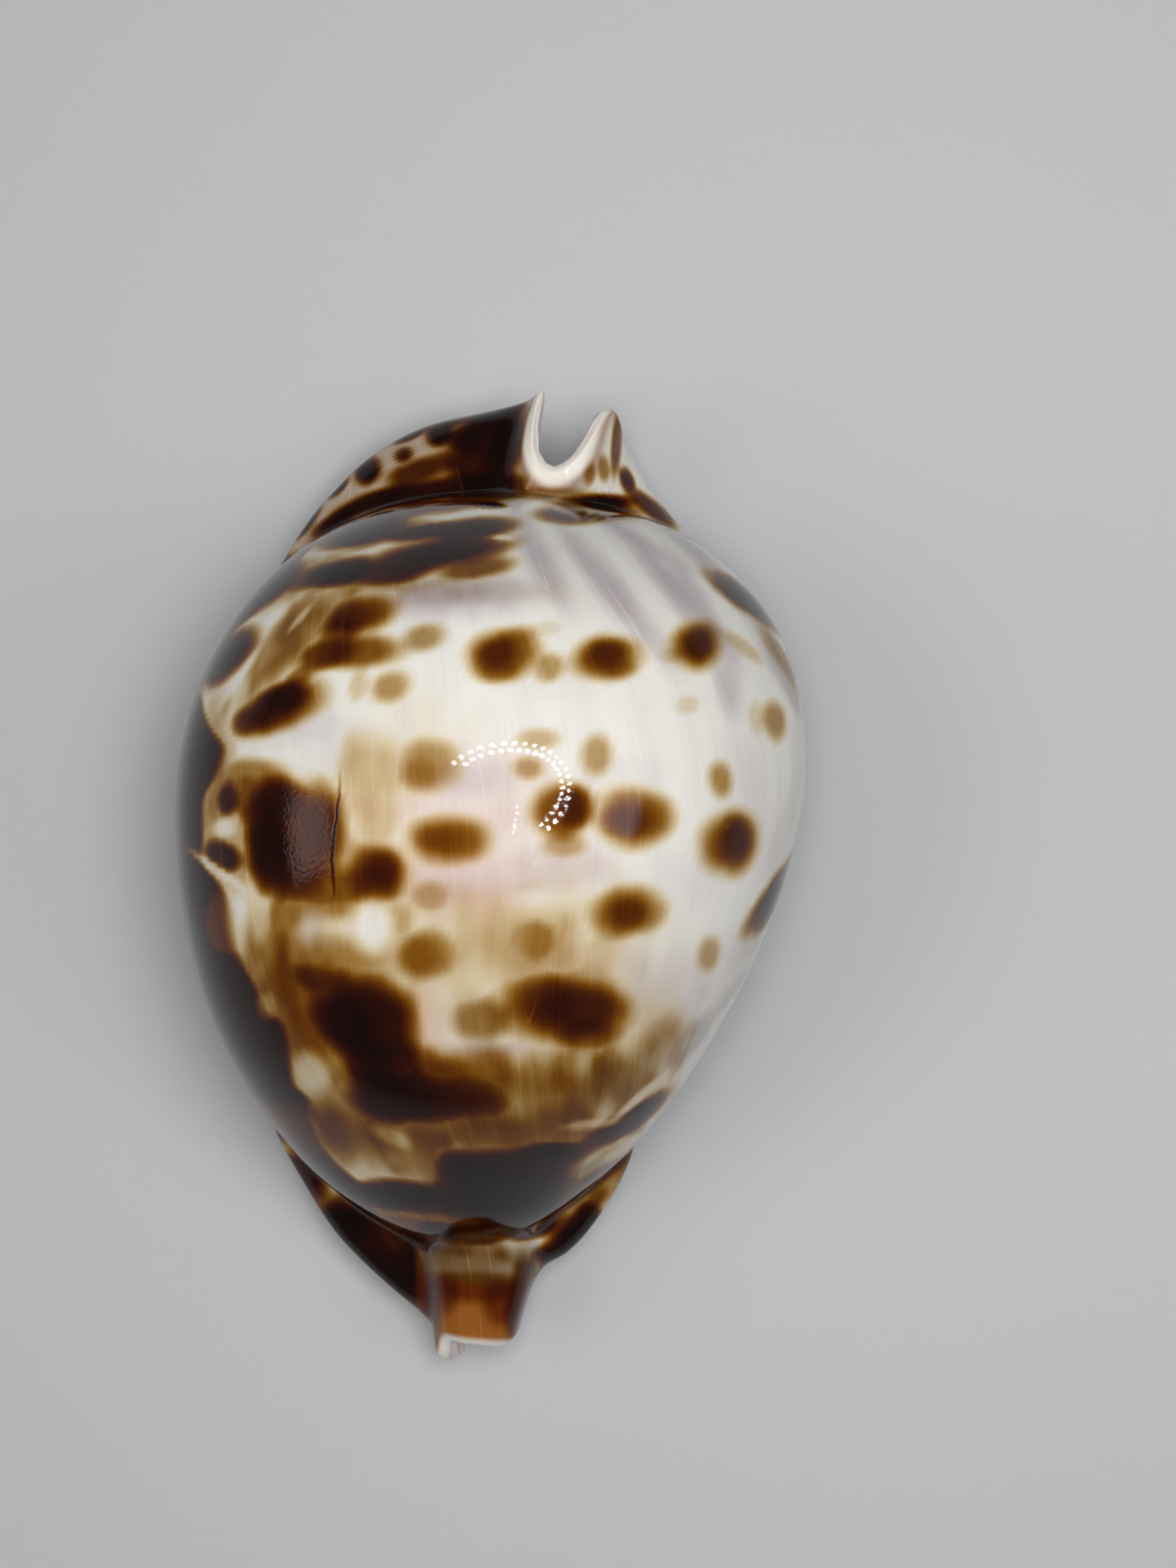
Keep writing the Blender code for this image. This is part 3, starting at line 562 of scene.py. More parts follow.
# Cream patches and lines where the pigment is thin, the same way, with an amount for the density
PALE_PATCHES = (
    (228, 845, 14, 12, 0.85), (222, 888, 48, 6, 0.8, 36), (272, 1027, 14, 16, 0.4),
    (318, 1094, 20, 28, 0.7, -30), (400, 1160, 26, 10, 0.5, 26), (380, 945, 26, 32, 0.95),
    (450, 530, 52, 3, 0.5, -13), (514, 549, 16, 4, 0.8, 4), (206, 703, 10, 13, 0.6),
    (340, 563, 50, 3, 0.4, -12), (606, 1147, 40, 6, 0.6, -6), (652, 1120, 46, 5, 0.8, -42),
    (240, 950, 10, 40, 0.4, -12), (446, 1034, 20, 50, 0.52, -4), (305, 632, 24, 4, 0.6, -49),
    (245, 690, 38, 5, 0.8, -56), (600, 1192, 30, 8, 0.3, -24), (648, 988, 40, 36, 0.5),
    (636, 1172, 40, 8, 0.7, -36), (652, 482, 28, 8, 1.0, 60),
)

# The inner edge of the dark margin on each side, as pixels down the photograph
LEFT_MARGIN_EDGE = (
    (300, 575), (262, 622), (226, 660), (208, 700), (215, 740), (230, 765), (222, 790), (207, 820),
    (207, 850), (208, 878), (226, 900), (236, 920), (242, 960), (252, 985), (262, 1005), (272, 1030),
    (290, 1046), (297, 1085), (303, 1106), (320, 1124), (328, 1150), (342, 1185), (366, 1210),
    (380, 1236),
)
RIGHT_MARGIN_EDGE = (
    (676, 520), (716, 548), (752, 586), (786, 636), (812, 690), (824, 760), (822, 830), (812, 870),
    (796, 920), (776, 965), (750, 1015), (724, 1062), (696, 1104), (660, 1146), (620, 1190), (580, 1240),
)

# How much lower than that the right margin begins, by place along the shell
RIGHT_MARGIN_DROP = ((-40, 9.0), (-16, 7.0), (-4, 3.0), (4, 2.0), (40, 2.0))

# The colours, as linear red, green and blue
CREAM = (0.80, 0.785, 0.72)
LILAC = (0.54, 0.47, 0.50)
BLUSH = (0.66, 0.47, 0.40)
UNDERSIDE = (0.82, 0.76, 0.66)
INSIDE = (0.66, 0.58, 0.56)
RUST = (0.36, 0.135, 0.018)
RIM_WHITE = (0.84, 0.80, 0.72)
AMBER = (0.30, 0.16, 0.08)
BAND_LILAC = (0.40, 0.33, 0.36)
FLANGE_TAN = (0.42, 0.31, 0.22)
COLLAR = (0.19, 0.115, 0.060)
DEEP_TAUPE = (0.36, 0.30, 0.25)

# What the pigment does to the ground by its density, and what the streaks do to it
PIGMENT_STOPS = (
    (0.00, (1.0, 1.0, 1.0)),
    (0.10, (0.85, 0.74, 0.54)),
    (0.22, (0.63, 0.46, 0.24)),
    (0.34, (0.42, 0.235, 0.055)),
    (0.46, (0.27, 0.108, 0.008)),
    (0.58, (0.165, 0.048, 0.0015)),
    (0.70, (0.095, 0.020, 0.001)),
    (0.84, (0.040, 0.005, 0.0007)),
    (1.00, (0.008, 0.0016, 0.001)),
)
SHADE_STOPS = ((0.0, (0.80, 0.78, 0.80)), (0.5, (0.94, 0.935, 0.94)), (1.0, (1.0, 1.0, 1.0)))

# Noise: its lattice, and its layers as how much finer each is and how strong
LATTICE = 128
LAYERS = ((1.0, 1.3), (2.1, 0.7))

# A spot's outline lies between an ellipse and a box, and is frayed over these lengths
SPOT_POWER = 2.1
SPOT_FRAY = (2.3, 3.2)
SPOT_FRAY_START = 40
LEAST_LEAN = 0.3
ALMOST_ALL = 0.999

# The dark margins: scallops at their inner edge, and how softly each begins
SCALLOPS = (5.5, 5.0)
LEFT_SCALLOP = 0.7
RIGHT_SCALLOP = 2.6
LEFT_SOFTNESS = (-1.0, 1.0)
RIGHT_SOFTNESS = (-1.6, 1.2)

# Where they end on the base (degrees from straight down) and at the steep ends, and their paler gaps
MARGIN_END = (50, 62)
MARGIN_END_FRAY = 4.0
MARGIN_END_START = 9
MARGIN_END_WANDER = 9
BACK_CLEAR_Z = (12.5, 15)
BACK_CLEAR_Y = (24, 26.5)
FRONT_CLEAR_Z = (8.5, 11)
FRONT_CLEAR_Y = (-24.5, -22.5)
STEEP = (0.05, 0.15)
GAP_LENGTHS = (6.5, 5.0)
GAP_START = 30
GAP_EDGE = (0.28, 0.42)
LEFT_GAPS = 0.30
RIGHT_GAPS = 0.45

# Where the tints fade. A pair is where a fade starts and where it is over.
BASE_FROM = (46, 66)
BASE_FRAY = 3
BASE_WANDER = 6
FACES_UP = (0.02, 0.12)
FLANGE_TOP_Z = (14.5, 16)
FLANGE_FROM_Y = (24, 27)
FLANGE_FROM_X = (0, 4)
SPOUT_OFF_CENTRE = 0.5
ROSTRUM_FROM_Y = (-31.4, -30.2)
ROSTRUM_SIDE = (4.6, 5.6)
ROSTRUM_LOW_Z = (3, 5)
ROSTRUM_STEEP = (0.1, 0.45)
ROSTRUM_STEEP_DENSITY = 0.72
RUST_FROM_Y = (-33.5, -32.2)
COLLAR_FROM_Y = (-30.6, -28.6)
COLLAR_SIDE = (4.6, 6.0)
FRONT_RIM = (0.5, 1.2)
GROOVE_FADE = 13
GROOVE_ROOM = (1.0, 5.5)
GROOVE_POWER = 1.5
GROOVE_DENSITY = 0.42

# The white rim of the notch: the turns it spans, how far it is looked for, its band's width by turn,
# and the shares of that width between which the white and the amber behind it fade
NOTCH_FROM = 146.0
NOTCH_TO = 216.0
NOTCH_REACH = 12
FAR = 99.0
RIM_BAND = ((146, 0.5), (152, 0.8), (165, 1.1), (180, 1.6), (194, 1.3), (204, 0.8), (216, 0.4))
RIM_EDGES = (0.8, 1.35)
GLOW_EDGES = (0.9, 2.4)

# A map runs round the shell, in these units to a radian, and along it in millimetres. The growth
# lines lean away from the shell's length by this much of it, by place along the shell.
AROUND_PER_RADIAN = 24
GROWTH_SLANT = ((-40, -12), (-10, 0), (15, 4.5), (20, 7.5), (28, 14.5), (34, 18))
INSIDE_MAP_START = 200
INSIDE_MAP_STEP = 0.5

# Streaks and growth lines, as noise in that map
FINE_STREAKS = (1.7, 0.14, 1.0)
BROAD_STREAKS = (0.5, 0.06, 1.0)
STREAK_STRENGTH = 0.66
LINE_SCALE = (0.22, 0.014, 1.0)
LINE_COUNT = 11.0
LINE_WIDTH = 0.045
LINE_PRESENCE = (0.46, 0.62)
LINE_THINS = 0.16
LINE_WHITENS = 0.35
SHADE_STRENGTH = 0.8
TAUPE_STRENGTH = 0.75

# A healed crack beside the big left spot, placed in that map
CRACK_FROM_Y = 0.2
CRACK_AT = 69.0
CRACK_LEAN = 0.16
CRACK_WANDER = 0.8
CRACK_WANDER_SCALE = (0.02, 0.5, 1.0)
CRACK_EDGES = (0.20, 0.06)
CRACK_ALONG = ((-2.3, 1.2), (9.0, 5.0))
CRACK_DENSITY = 0.34
CRACK_DEPTH = 0.8

# The worn, finely pitted patch on its outer side
WORN_ROUND = ((63.6, 65.6), (69.6, 69.0))
WORN_ALONG = ((-1.5, 1.5), (9.5, 6.5))
WORN_SCALE = 3000.0
WORN_HEIGHT = 1.6

# The enamel's own surface
PIT_SCALE = 1600.0
PIT_HEIGHT = 0.35
SWELL_SCALE = 160.0
SWELL_HEIGHT = 0.5
BUMP_STRENGTH = 0.10
BUMP_DISTANCE = 0.0002
ROUGHNESS = 0.030
PIGMENT_ROUGHNESS = 0.010
SPECULAR_LEVEL = 0.22
REFRACTION = 1.5

# The floor and the room
FLOOR_HALF = 3.0
FLOOR_COLOUR = (0.50, 0.51, 0.52, 1.0)
FLOOR_ROUGHNESS = 0.75
ROOM_COLOUR = (0.92, 0.95, 1.0, 1.0)
ROOM_STRENGTH = 0.14

# The ring of small lamps about the camera: a double arc, seen in the gloss alone, and a short row
LAMP_RADII = (0.070, 0.083)
LAMP_COUNT = 22
LAMP_FROM = -50.0
LAMP_TO = 155.0
LAMP_SIZE = 0.0027
LAMP_POWER = 0.05
LAMP_MIDDLE = (0.030, 0.018, 0.27)
ROW_COUNT = 5
ROW_SIZE = 0.0014
ROW_POWER = 0.014
ROW_X = 0.039
ROW_FROM_Y = -0.010
ROW_TO_Y = -0.046

# The lamp that lights the shell from above
KEY_PLACE = (0.034, 0.024, 0.26)
KEY_SIZE = 0.14
KEY_POWER = 0.47

# Upright soft lights on both sides: name, place, width, height, power and colour. Then their soft edge.
SOFTBOXES = (
    ("left_low", (-0.60, -0.16, 0.40), 0.40, 0.34, 1.1, (1.0, 0.93, 0.90)),
    ("left_high", (-0.60, -0.05, 0.88), 0.60, 0.55, 4.4, (1.0, 0.97, 0.92)),
    ("right_high", (0.60, -0.04, 0.68), 0.34, 0.46, 2.0, (1.0, 0.94, 0.96)),
)
SOFTBOX_EDGE = 0.22


def value_noise(a, b, seed):
    """Smooth noise from 0 to 1, one hill or hollow to each unit of a and b."""
    lattice = np.random.default_rng(seed).random((LATTICE, LATTICE))
    ia, ib = np.floor(a).astype(int), np.floor(b).astype(int)
    fa, fb = a - ia, b - ib
    fa, fb = fa * fa * (3 - 2 * fa), fb * fb * (3 - 2 * fb)
    ia, ib, ja, jb = [place % LATTICE for place in (ia, ib, ia + 1, ib + 1)]
    near = lattice[ia, ib] * (1 - fa) + lattice[ja, ib] * fa
    far = lattice[ia, jb] * (1 - fa) + lattice[ja, jb] * fa
    return near * (1 - fb) + far * fb


def layered_noise(a, b, seed):
    """Two octaves of noise about 0, from about -1 to 1."""
    octaves = enumerate(LAYERS)
    return sum(size * (value_noise(fine * a, fine * b, seed + k) - 0.5) for k, (fine, size) in octaves)


class Skin:
    """The shell's grid of points with what the markings are placed by."""

    def __init__(self):
        self.x, self.y, self.z = section_loops()
        places = np.stack([self.x, self.y, self.z], -1)
        low, high = places.reshape(-1, 3).min(0), places.reshape(-1, 3).max(0)
        cad_low, cad_high = np.array(CAD_BOX) / MM
        self.shift = (cad_low + cad_high) / 2 - (low + high) / 2
        self.shift[2] = -low[2]
        self.places = np.clip(places + self.shift, cad_low, cad_high)
        self.rows, self.columns = self.x.shape
        self.nominal_y = stations()[None, :]
        along = np.gradient(self.places, axis=1)
        around = np.roll(self.places, -1, 0) - np.roll(self.places, 1, 0)
        normal = np.cross(around, along)
        self.normal = normal / np.maximum(np.linalg.norm(normal, axis=-1, keepdims=True), 1e-9)
        outer = self.places[:OUTER_POINTS]
        step = np.linalg.norm(np.diff(outer, axis=0), axis=-1)
        girth = np.concatenate([np.zeros((1, self.columns)), np.cumsum(step, 0)])
        self.girth = girth - girth[OUTER_POINTS // 2]
        lip_turn = lip_turn_at(self.nominal_y)
        self.turn = lip_turn + np.linspace(0, 1, OUTER_POINTS)[:, None] * (2 * math.pi - 2 * lip_turn)
        self.from_down = np.degrees(np.minimum(self.turn, 2 * math.pi - self.turn))
        self.outer_x, self.outer_y, self.outer_z = outer[..., 0], outer[..., 1], outer[..., 2]
        self.up = self.normal[:OUTER_POINTS, :, 2]
        self.pixel_x, self.pixel_y = self.to_photo(outer)

    def edge_distance(self):
        """How far each place of the outer face is from the rim of the notch, and which way round it is."""
        turns = np.degrees(self.turn[:, -1])
        notch = (turns > NOTCH_FROM) & (turns < NOTCH_TO)
        outer = self.places[:OUTER_POINTS]
        rim = outer[notch, -1]
        near = outer[..., 1] > rim[:, 1].min() - NOTCH_REACH
        away = np.linalg.norm(outer[near][:, None] - rim[None], axis=-1)
        distance, place = np.full(near.shape, FAR), np.zeros(near.shape)
        distance[near] = away.min(1)
        place[near] = turns[notch][away.argmin(1)]
        return distance, place

    def to_photo(self, places):
        """Where the photograph's camera sees a place, in the photograph's pixels."""
        x, y, z = places[..., 0] - self.shift[0], places[..., 1] - self.shift[1], places[..., 2]
        right = x * math.cos(SHELL_TILT) + y * math.sin(SHELL_TILT)
        up = -x * math.sin(SHELL_TILT) + y * math.cos(SHELL_TILT)
        scale = (CAMERA_HEIGHT - SCALE_HEIGHT) / MM_PER_PIXEL / (CAMERA_HEIGHT - z)
        return PHOTO_AXIS[0] + scale * (right - AXIS_RIGHT), PHOTO_AXIS[1] - scale * (up - AXIS_UP)

    def nearest(self, pixel_x, pixel_y):
        """The grid place on the shell's upper face that the camera sees nearest to a pixel."""
        away = (self.pixel_x - pixel_x) ** 2 + (self.pixel_y - pixel_y) ** 2
        away = away + np.where(self.up > FACES_UP[0], 0, 1e6) - self.outer_z * 0.5
        return np.unravel_index(np.argmin(away), away.shape)


def spot_field(skin, spots, seed, edge=(0.4, 1.22), ragged=0.13, from_above=False):
    """The density of a list of spots over the outer face, each one blurred and uneven at its edge.

    A spot keeps its width as it bends down a flank, or else is cast straight down from above.
    """
    total = np.zeros_like(skin.girth)
    round_shell, along_shell = skin.girth / SPOT_FRAY[0], skin.outer_y / SPOT_FRAY[1]
    fray = layered_noise(round_shell + SPOT_FRAY_START, along_shell + SPOT_FRAY_START, seed) * ragged
    for pixel_x, pixel_y, half_width, half_height, density, *tilt in spots:
        turn = math.radians(sum(tilt))
        if from_above:
            across, along = skin.pixel_x - pixel_x, pixel_y - skin.pixel_y
        else:
            i, j = skin.nearest(pixel_x, pixel_y)
            pixels = (CAMERA_HEIGHT - SCALE_HEIGHT) / (CAMERA_HEIGHT - skin.outer_z[i, j]) / MM_PER_PIXEL
            across = (skin.girth - skin.girth[i, j]) * max(skin.up[i, j], LEAST_LEAN) * pixels
            along = (skin.outer_y - skin.outer_y[i, j]) * pixels
            turn = turn - SHELL_TILT
        right = np.abs(across * math.cos(turn) - along * math.sin(turn)) / half_width
        down = np.abs(across * math.sin(turn) + along * math.cos(turn)) / half_height
        reach = (right ** SPOT_POWER + down ** SPOT_POWER) ** (1 / SPOT_POWER)
        soft = fade(reach + fray, *edge)
        total = 1 - (1 - np.clip(total, 0, ALMOST_ALL)) * (1 - soft * min(density, ALMOST_ALL))
    return total


def margin_edge(skin, edge):
    """How far round the girth the dark margin begins, at every place along the shell."""
    found = [skin.nearest(*pixel) for pixel in edge]
    keys = sorted((float(skin.outer_y[place]), float(skin.girth[place])) for place in found)
    return keyed(skin.outer_y, keys)


def margin_field(skin):
    """The dark margins on both flanks, scalloped where they meet the back, and ending on the base."""
    y, girth = skin.outer_y, skin.girth
    wave = layered_noise(y / SCALLOPS[0], girth / SCALLOPS[1], seed=21)
    from_left_edge = girth - margin_edge(skin, LEFT_MARGIN_EDGE) + wave * LEFT_SCALLOP
    left = fade(from_left_edge, *LEFT_SOFTNESS) * (girth < 0)
    right_edge = margin_edge(skin, RIGHT_MARGIN_EDGE) + keyed(y, RIGHT_MARGIN_DROP)
    right = fade(right_edge - girth + wave * RIGHT_SCALLOP, *RIGHT_SOFTNESS) * (girth > 0)
    end_y, end_girth = [place / MARGIN_END_FRAY + MARGIN_END_START for place in (y, girth)]
    end_wave = layered_noise(end_y, end_girth, seed=25) * MARGIN_END_WANDER
    on_flank = 1 - fade(skin.from_down + end_wave, *MARGIN_END)
    clear = fade(skin.outer_z, *BACK_CLEAR_Z) * (1 - fade(y, *BACK_CLEAR_Y))
    clear = clear + fade(skin.outer_z, *FRONT_CLEAR_Z) * fade(y, *FRONT_CLEAR_Y)
    on_flank = on_flank * (1 - clear * (1 - fade(skin.up, *STEEP)))
    holes = value_noise(girth / GAP_LENGTHS[0] + GAP_START, y / GAP_LENGTHS[1] + GAP_START, seed=33)
    gap_strength = np.where(girth < 0, LEFT_GAPS, RIGHT_GAPS)
    return np.maximum(left, right) * on_flank * (1 - fade(holes, *GAP_EDGE) * gap_strength)


def colour_of(*parts):
    """Mixes colours over the outer face: each later (amount, colour) covers those before it."""
    mixed = np.zeros(parts[0][0].shape + (3,))
    for amount, colour in parts:
        mixed = mixed + (np.array(colour) - mixed) * np.clip(amount, 0, 1)[..., None]
    return mixed


def paint(skin):
    """The markings of every point of the grid: the ground's colour, and two depths of pigment."""
    shape = (skin.rows, skin.columns)
    outer = slice(0, OUTER_POINTS)
    ground = np.zeros(shape + (3,))
    ground[:] = INSIDE
    pigment, deep = np.zeros(shape), np.zeros(shape)
    y, up = skin.outer_y, skin.up

    base_wave = layered_noise(y / BASE_FRAY, skin.girth / BASE_FRAY, seed=51) * BASE_WANDER
    on_base = fade(skin.from_down + base_wave, *BASE_FROM)
    faces_up = 1 - fade(up, *FACES_UP)
    lilac = spot_field(skin, LILAC_ZONES, 61, edge=(0.2, 1.5), ragged=0.3)
    blush = spot_field(skin, BLUSH_ZONES, 63, edge=(0.1, 1.6), ragged=0.3)
    bands = spot_field(skin, SPIRE_BANDS, 65, edge=(0.1, 1.5), ragged=0.2, from_above=True) * faces_up
    on_flange = fade(skin.outer_z, *FLANGE_TOP_Z) * (1 - fade(y, *FLANGE_FROM_Y)) * faces_up
    on_flange = on_flange * fade(skin.outer_x - skin.shift[0], *FLANGE_FROM_X)
    across_spout = np.abs(skin.outer_x - keyed(y, APERTURE_X) - SPOUT_OFF_CENTRE)
    on_rostrum = fade(y, *ROSTRUM_FROM_Y) * fade(across_spout, *ROSTRUM_SIDE)
    on_rostrum = on_rostrum * (1 - fade(skin.outer_z, *ROSTRUM_LOW_Z))
    rusty = on_rostrum * fade(y, *RUST_FROM_Y)
    on_collar = fade(y, *COLLAR_FROM_Y) * fade(across_spout, *COLLAR_SIDE) * faces_up
    from_notch, notch_turn = skin.edge_distance()
    band = keyed(notch_turn, RIM_BAND)
    rim = fade(from_notch, *[band * share for share in RIM_EDGES])
    glow = fade(from_notch, *[band * share for share in GLOW_EDGES])
    rim = np.maximum(rim, fade(y - keyed(np.degrees(skin.turn), FRONT_END_Y), *FRONT_RIM))
    ground[outer] = colour_of(
        (np.ones_like(up), CREAM), (blush, BLUSH), (lilac * 0.9, LILAC), (bands * 0.9, BAND_LILAC),
        (on_flange * 0.9, FLANGE_TAN), (on_base, UNDERSIDE), (glow * 0.95, AMBER),
        (on_collar * 0.85, COLLAR), (rusty * 0.94, RUST), (rim, RIM_WHITE),
    )

    pale = spot_field(skin, PALE_PATCHES, 79, ragged=0.1, from_above=True) * faces_up
    end_spots = spot_field(skin, END_SPOTS, 75, ragged=0.08, from_above=True) * faces_up
    spots = np.maximum(spot_field(skin, SPOTS, 71), end_spots)
    washes = spot_field(skin, WASHES, 81, edge=(0.1, 1.6), ragged=0.5)
    dark = 1 - (1 - spots) * (1 - margin_field(skin) * 0.97)
    dark = np.maximum(dark, washes) * (1 - pale)
    rostrum = spot_field(skin, ROSTRUM_SPOTS, 77, ragged=0.05, from_above=True)
    sides = np.maximum(rostrum * faces_up, fade(up, *ROSTRUM_STEEP) * ROSTRUM_STEEP_DENSITY)
    dark = (dark * (1 - on_rostrum) + sides * on_rostrum) * (1 - rim)
    grooves = between_teeth(skin.nominal_y) ** GROOVE_POWER * GROOVE_DENSITY
    from_lip = (skin.turn - lip_turn_at(skin.nominal_y)) * GROOVE_FADE
    by_lip = grooves * fade(from_lip, *GROOVE_ROOM)
    pigment[outer] = np.maximum(dark * (1 - on_base * 0.9), by_lip)
    deep[outer] = spot_field(skin, DEEP_SPOTS, 91) * (1 - on_base)
    left_lip = slice(OUTER_POINTS + LIP_POINTS + INNER_POINTS, skin.rows)
    ground[OUTER_POINTS:OUTER_POINTS + LIP_POINTS] = UNDERSIDE
    ground[left_lip] = UNDERSIDE
    pigment[left_lip] = grooves
    return ground, pigment, deep


def shell_object(skin):
    """The fine mesh with its markings and a map that runs along and around the shell."""
    mesh = bpy.data.meshes.new("glossy_shell")
    vertices = skin.places.transpose(1, 0, 2).reshape(-1, 3) * MM
    points, sections = skin.rows, skin.columns
    i, j = np.meshgrid(np.arange(points), np.arange(sections - 1))
    here, beside = j * points + i, j * points + (i + 1) % points
    faces = np.stack([here, beside, beside + points, here + points], -1).reshape(-1, 4).tolist()
    faces += [face[::-1] for face in cap_faces(lambda k: k)]
    faces += cap_faces(lambda k: (sections - 1) * points + k)
    mesh.from_pydata(vertices.tolist(), [], faces)
    mesh.polygons.foreach_set("use_smooth", [True] * len(mesh.polygons))

    ground, pigment, deep = paint(skin)
    colour = np.ones((sections * points, 4))
    colour[:, :3] = ground.transpose(1, 0, 2).reshape(-1, 3)
    mesh.attributes.new("ground", "FLOAT_COLOR", "POINT").data.foreach_set("color", colour.ravel())
    for name, values in (("pigment", pigment), ("deep", deep)):
        mesh.attributes.new(name, "FLOAT", "POINT").data.foreach_set("value", values.T.ravel().copy())

    flow = np.zeros((points, sections, 2))
    flow[:OUTER_POINTS, :, 0] = skin.turn * AROUND_PER_RADIAN + keyed(skin.outer_y, GROWTH_SLANT)
    inside = np.arange(points - OUTER_POINTS)[:, None]
    flow[OUTER_POINTS:, :, 0] = INSIDE_MAP_START + inside * INSIDE_MAP_STEP
    flow[..., 1] = skin.places[..., 1]
    corner = np.zeros(len(mesh.loops), int)
    mesh.loops.foreach_get("vertex_index", corner)
    flat = flow.transpose(1, 0, 2).reshape(-1, 2)
    mesh.uv_layers.new(name="flow").data.foreach_set("uv", flat[corner].ravel())
    shell = bpy.data.objects.new("glossy_shell", mesh)
    bpy.context.scene.collection.objects.link(shell)
    return shell


class Nodes:
    """A short hand for building the nodes of a material, a light or the world."""

    def __init__(self, owner, shown):
        owner.use_nodes = True
        self.owner = owner
        self.tree = owner.node_tree
        self.shown = self.tree.nodes[shown]

    def add(self, kind, settings=None, **inputs):
        node = self.tree.nodes.new(kind)
        for key, value in (settings or {}).items():
            setattr(node, key, value)
        for key, value in inputs.items():
            socket = node.inputs[int(key[1:]) if key[1:].isdigit() else key.replace("_", " ")]
            if isinstance(value, bpy.types.NodeSocket):
                self.tree.links.new(value, socket)
            else:
                socket.default_value = value
        return node

    def math(self, operation, a, b=0.0, clamp=False):
        settings = {"operation": operation, "use_clamp": clamp}
        return self.add("ShaderNodeMath", settings, i0=a, i1=b).outputs[0]

    def times(self, a, b, clamp=False):
        return self.math("MULTIPLY", a, b, clamp)

    def plus(self, a, b, clamp=False):
        return self.math("ADD", a, b, clamp)

    def minus(self, a, b):
        return self.math("SUBTRACT", a, b)

    def mix(self, blend, amount, a, b):
        settings = {"data_type": "RGBA", "blend_type": blend}
        return self.add("ShaderNodeMix", settings, i0=amount, i6=a, i7=b).outputs[2]

    def attribute(self, name, output="Fac"):
        return self.add("ShaderNodeAttribute", {"attribute_name": name}).outputs[output]

    def stretched(self, vector, scale):
        return self.add("ShaderNodeMapping", None, Vector=vector, Scale=scale).outputs[0]

    def noise(self, vector, scale, detail=2.0, roughness=0.5):
        inputs = {"Vector": vector, "Scale": scale, "Detail": detail, "Roughness": roughness}
        return self.add("ShaderNodeTexNoise", None, **inputs).outputs[0]

    def step(self, value, start, end):
        """0 at start, 1 at end, and a smooth step between."""
        smooth = {"interpolation_type": "SMOOTHSTEP"}
        return self.add("ShaderNodeMapRange", smooth, i0=value, i1=start, i2=end, i3=0.0, i4=1.0).outputs[0]

    def between(self, value, low, high):
        """1 between two soft limits, each given as where it starts and where it is whole."""
        return self.times(self.step(value, *low), self.step(value, *high))

    def ramp(self, value, stops):
        node = self.add("ShaderNodeValToRGB", None, Fac=value)
        elements = node.color_ramp.elements
        while len(elements) < len(stops):
            elements.new(0.5)
        for element, (place, colour) in zip(elements, stops):
            element.position = place
            element.color = (*colour, 1.0)
        return node.outputs[0]

    def link(self, output, socket):
        self.tree.links.new(output, self.shown.inputs[socket])


def crack_mask(nodes, around, along, flow):
    """Where the healed crack is."""
    wander = nodes.noise(nodes.stretched(flow, CRACK_WANDER_SCALE), 1.0)
    centre = nodes.times(nodes.minus(along, CRACK_FROM_Y), CRACK_LEAN)
    centre = nodes.plus(nodes.plus(centre, CRACK_AT - CRACK_WANDER / 2), nodes.times(wander, CRACK_WANDER))
    crack = nodes.step(nodes.math("ABSOLUTE", nodes.minus(around, centre)), *CRACK_EDGES)
    return nodes.times(crack, nodes.between(along, *CRACK_ALONG))


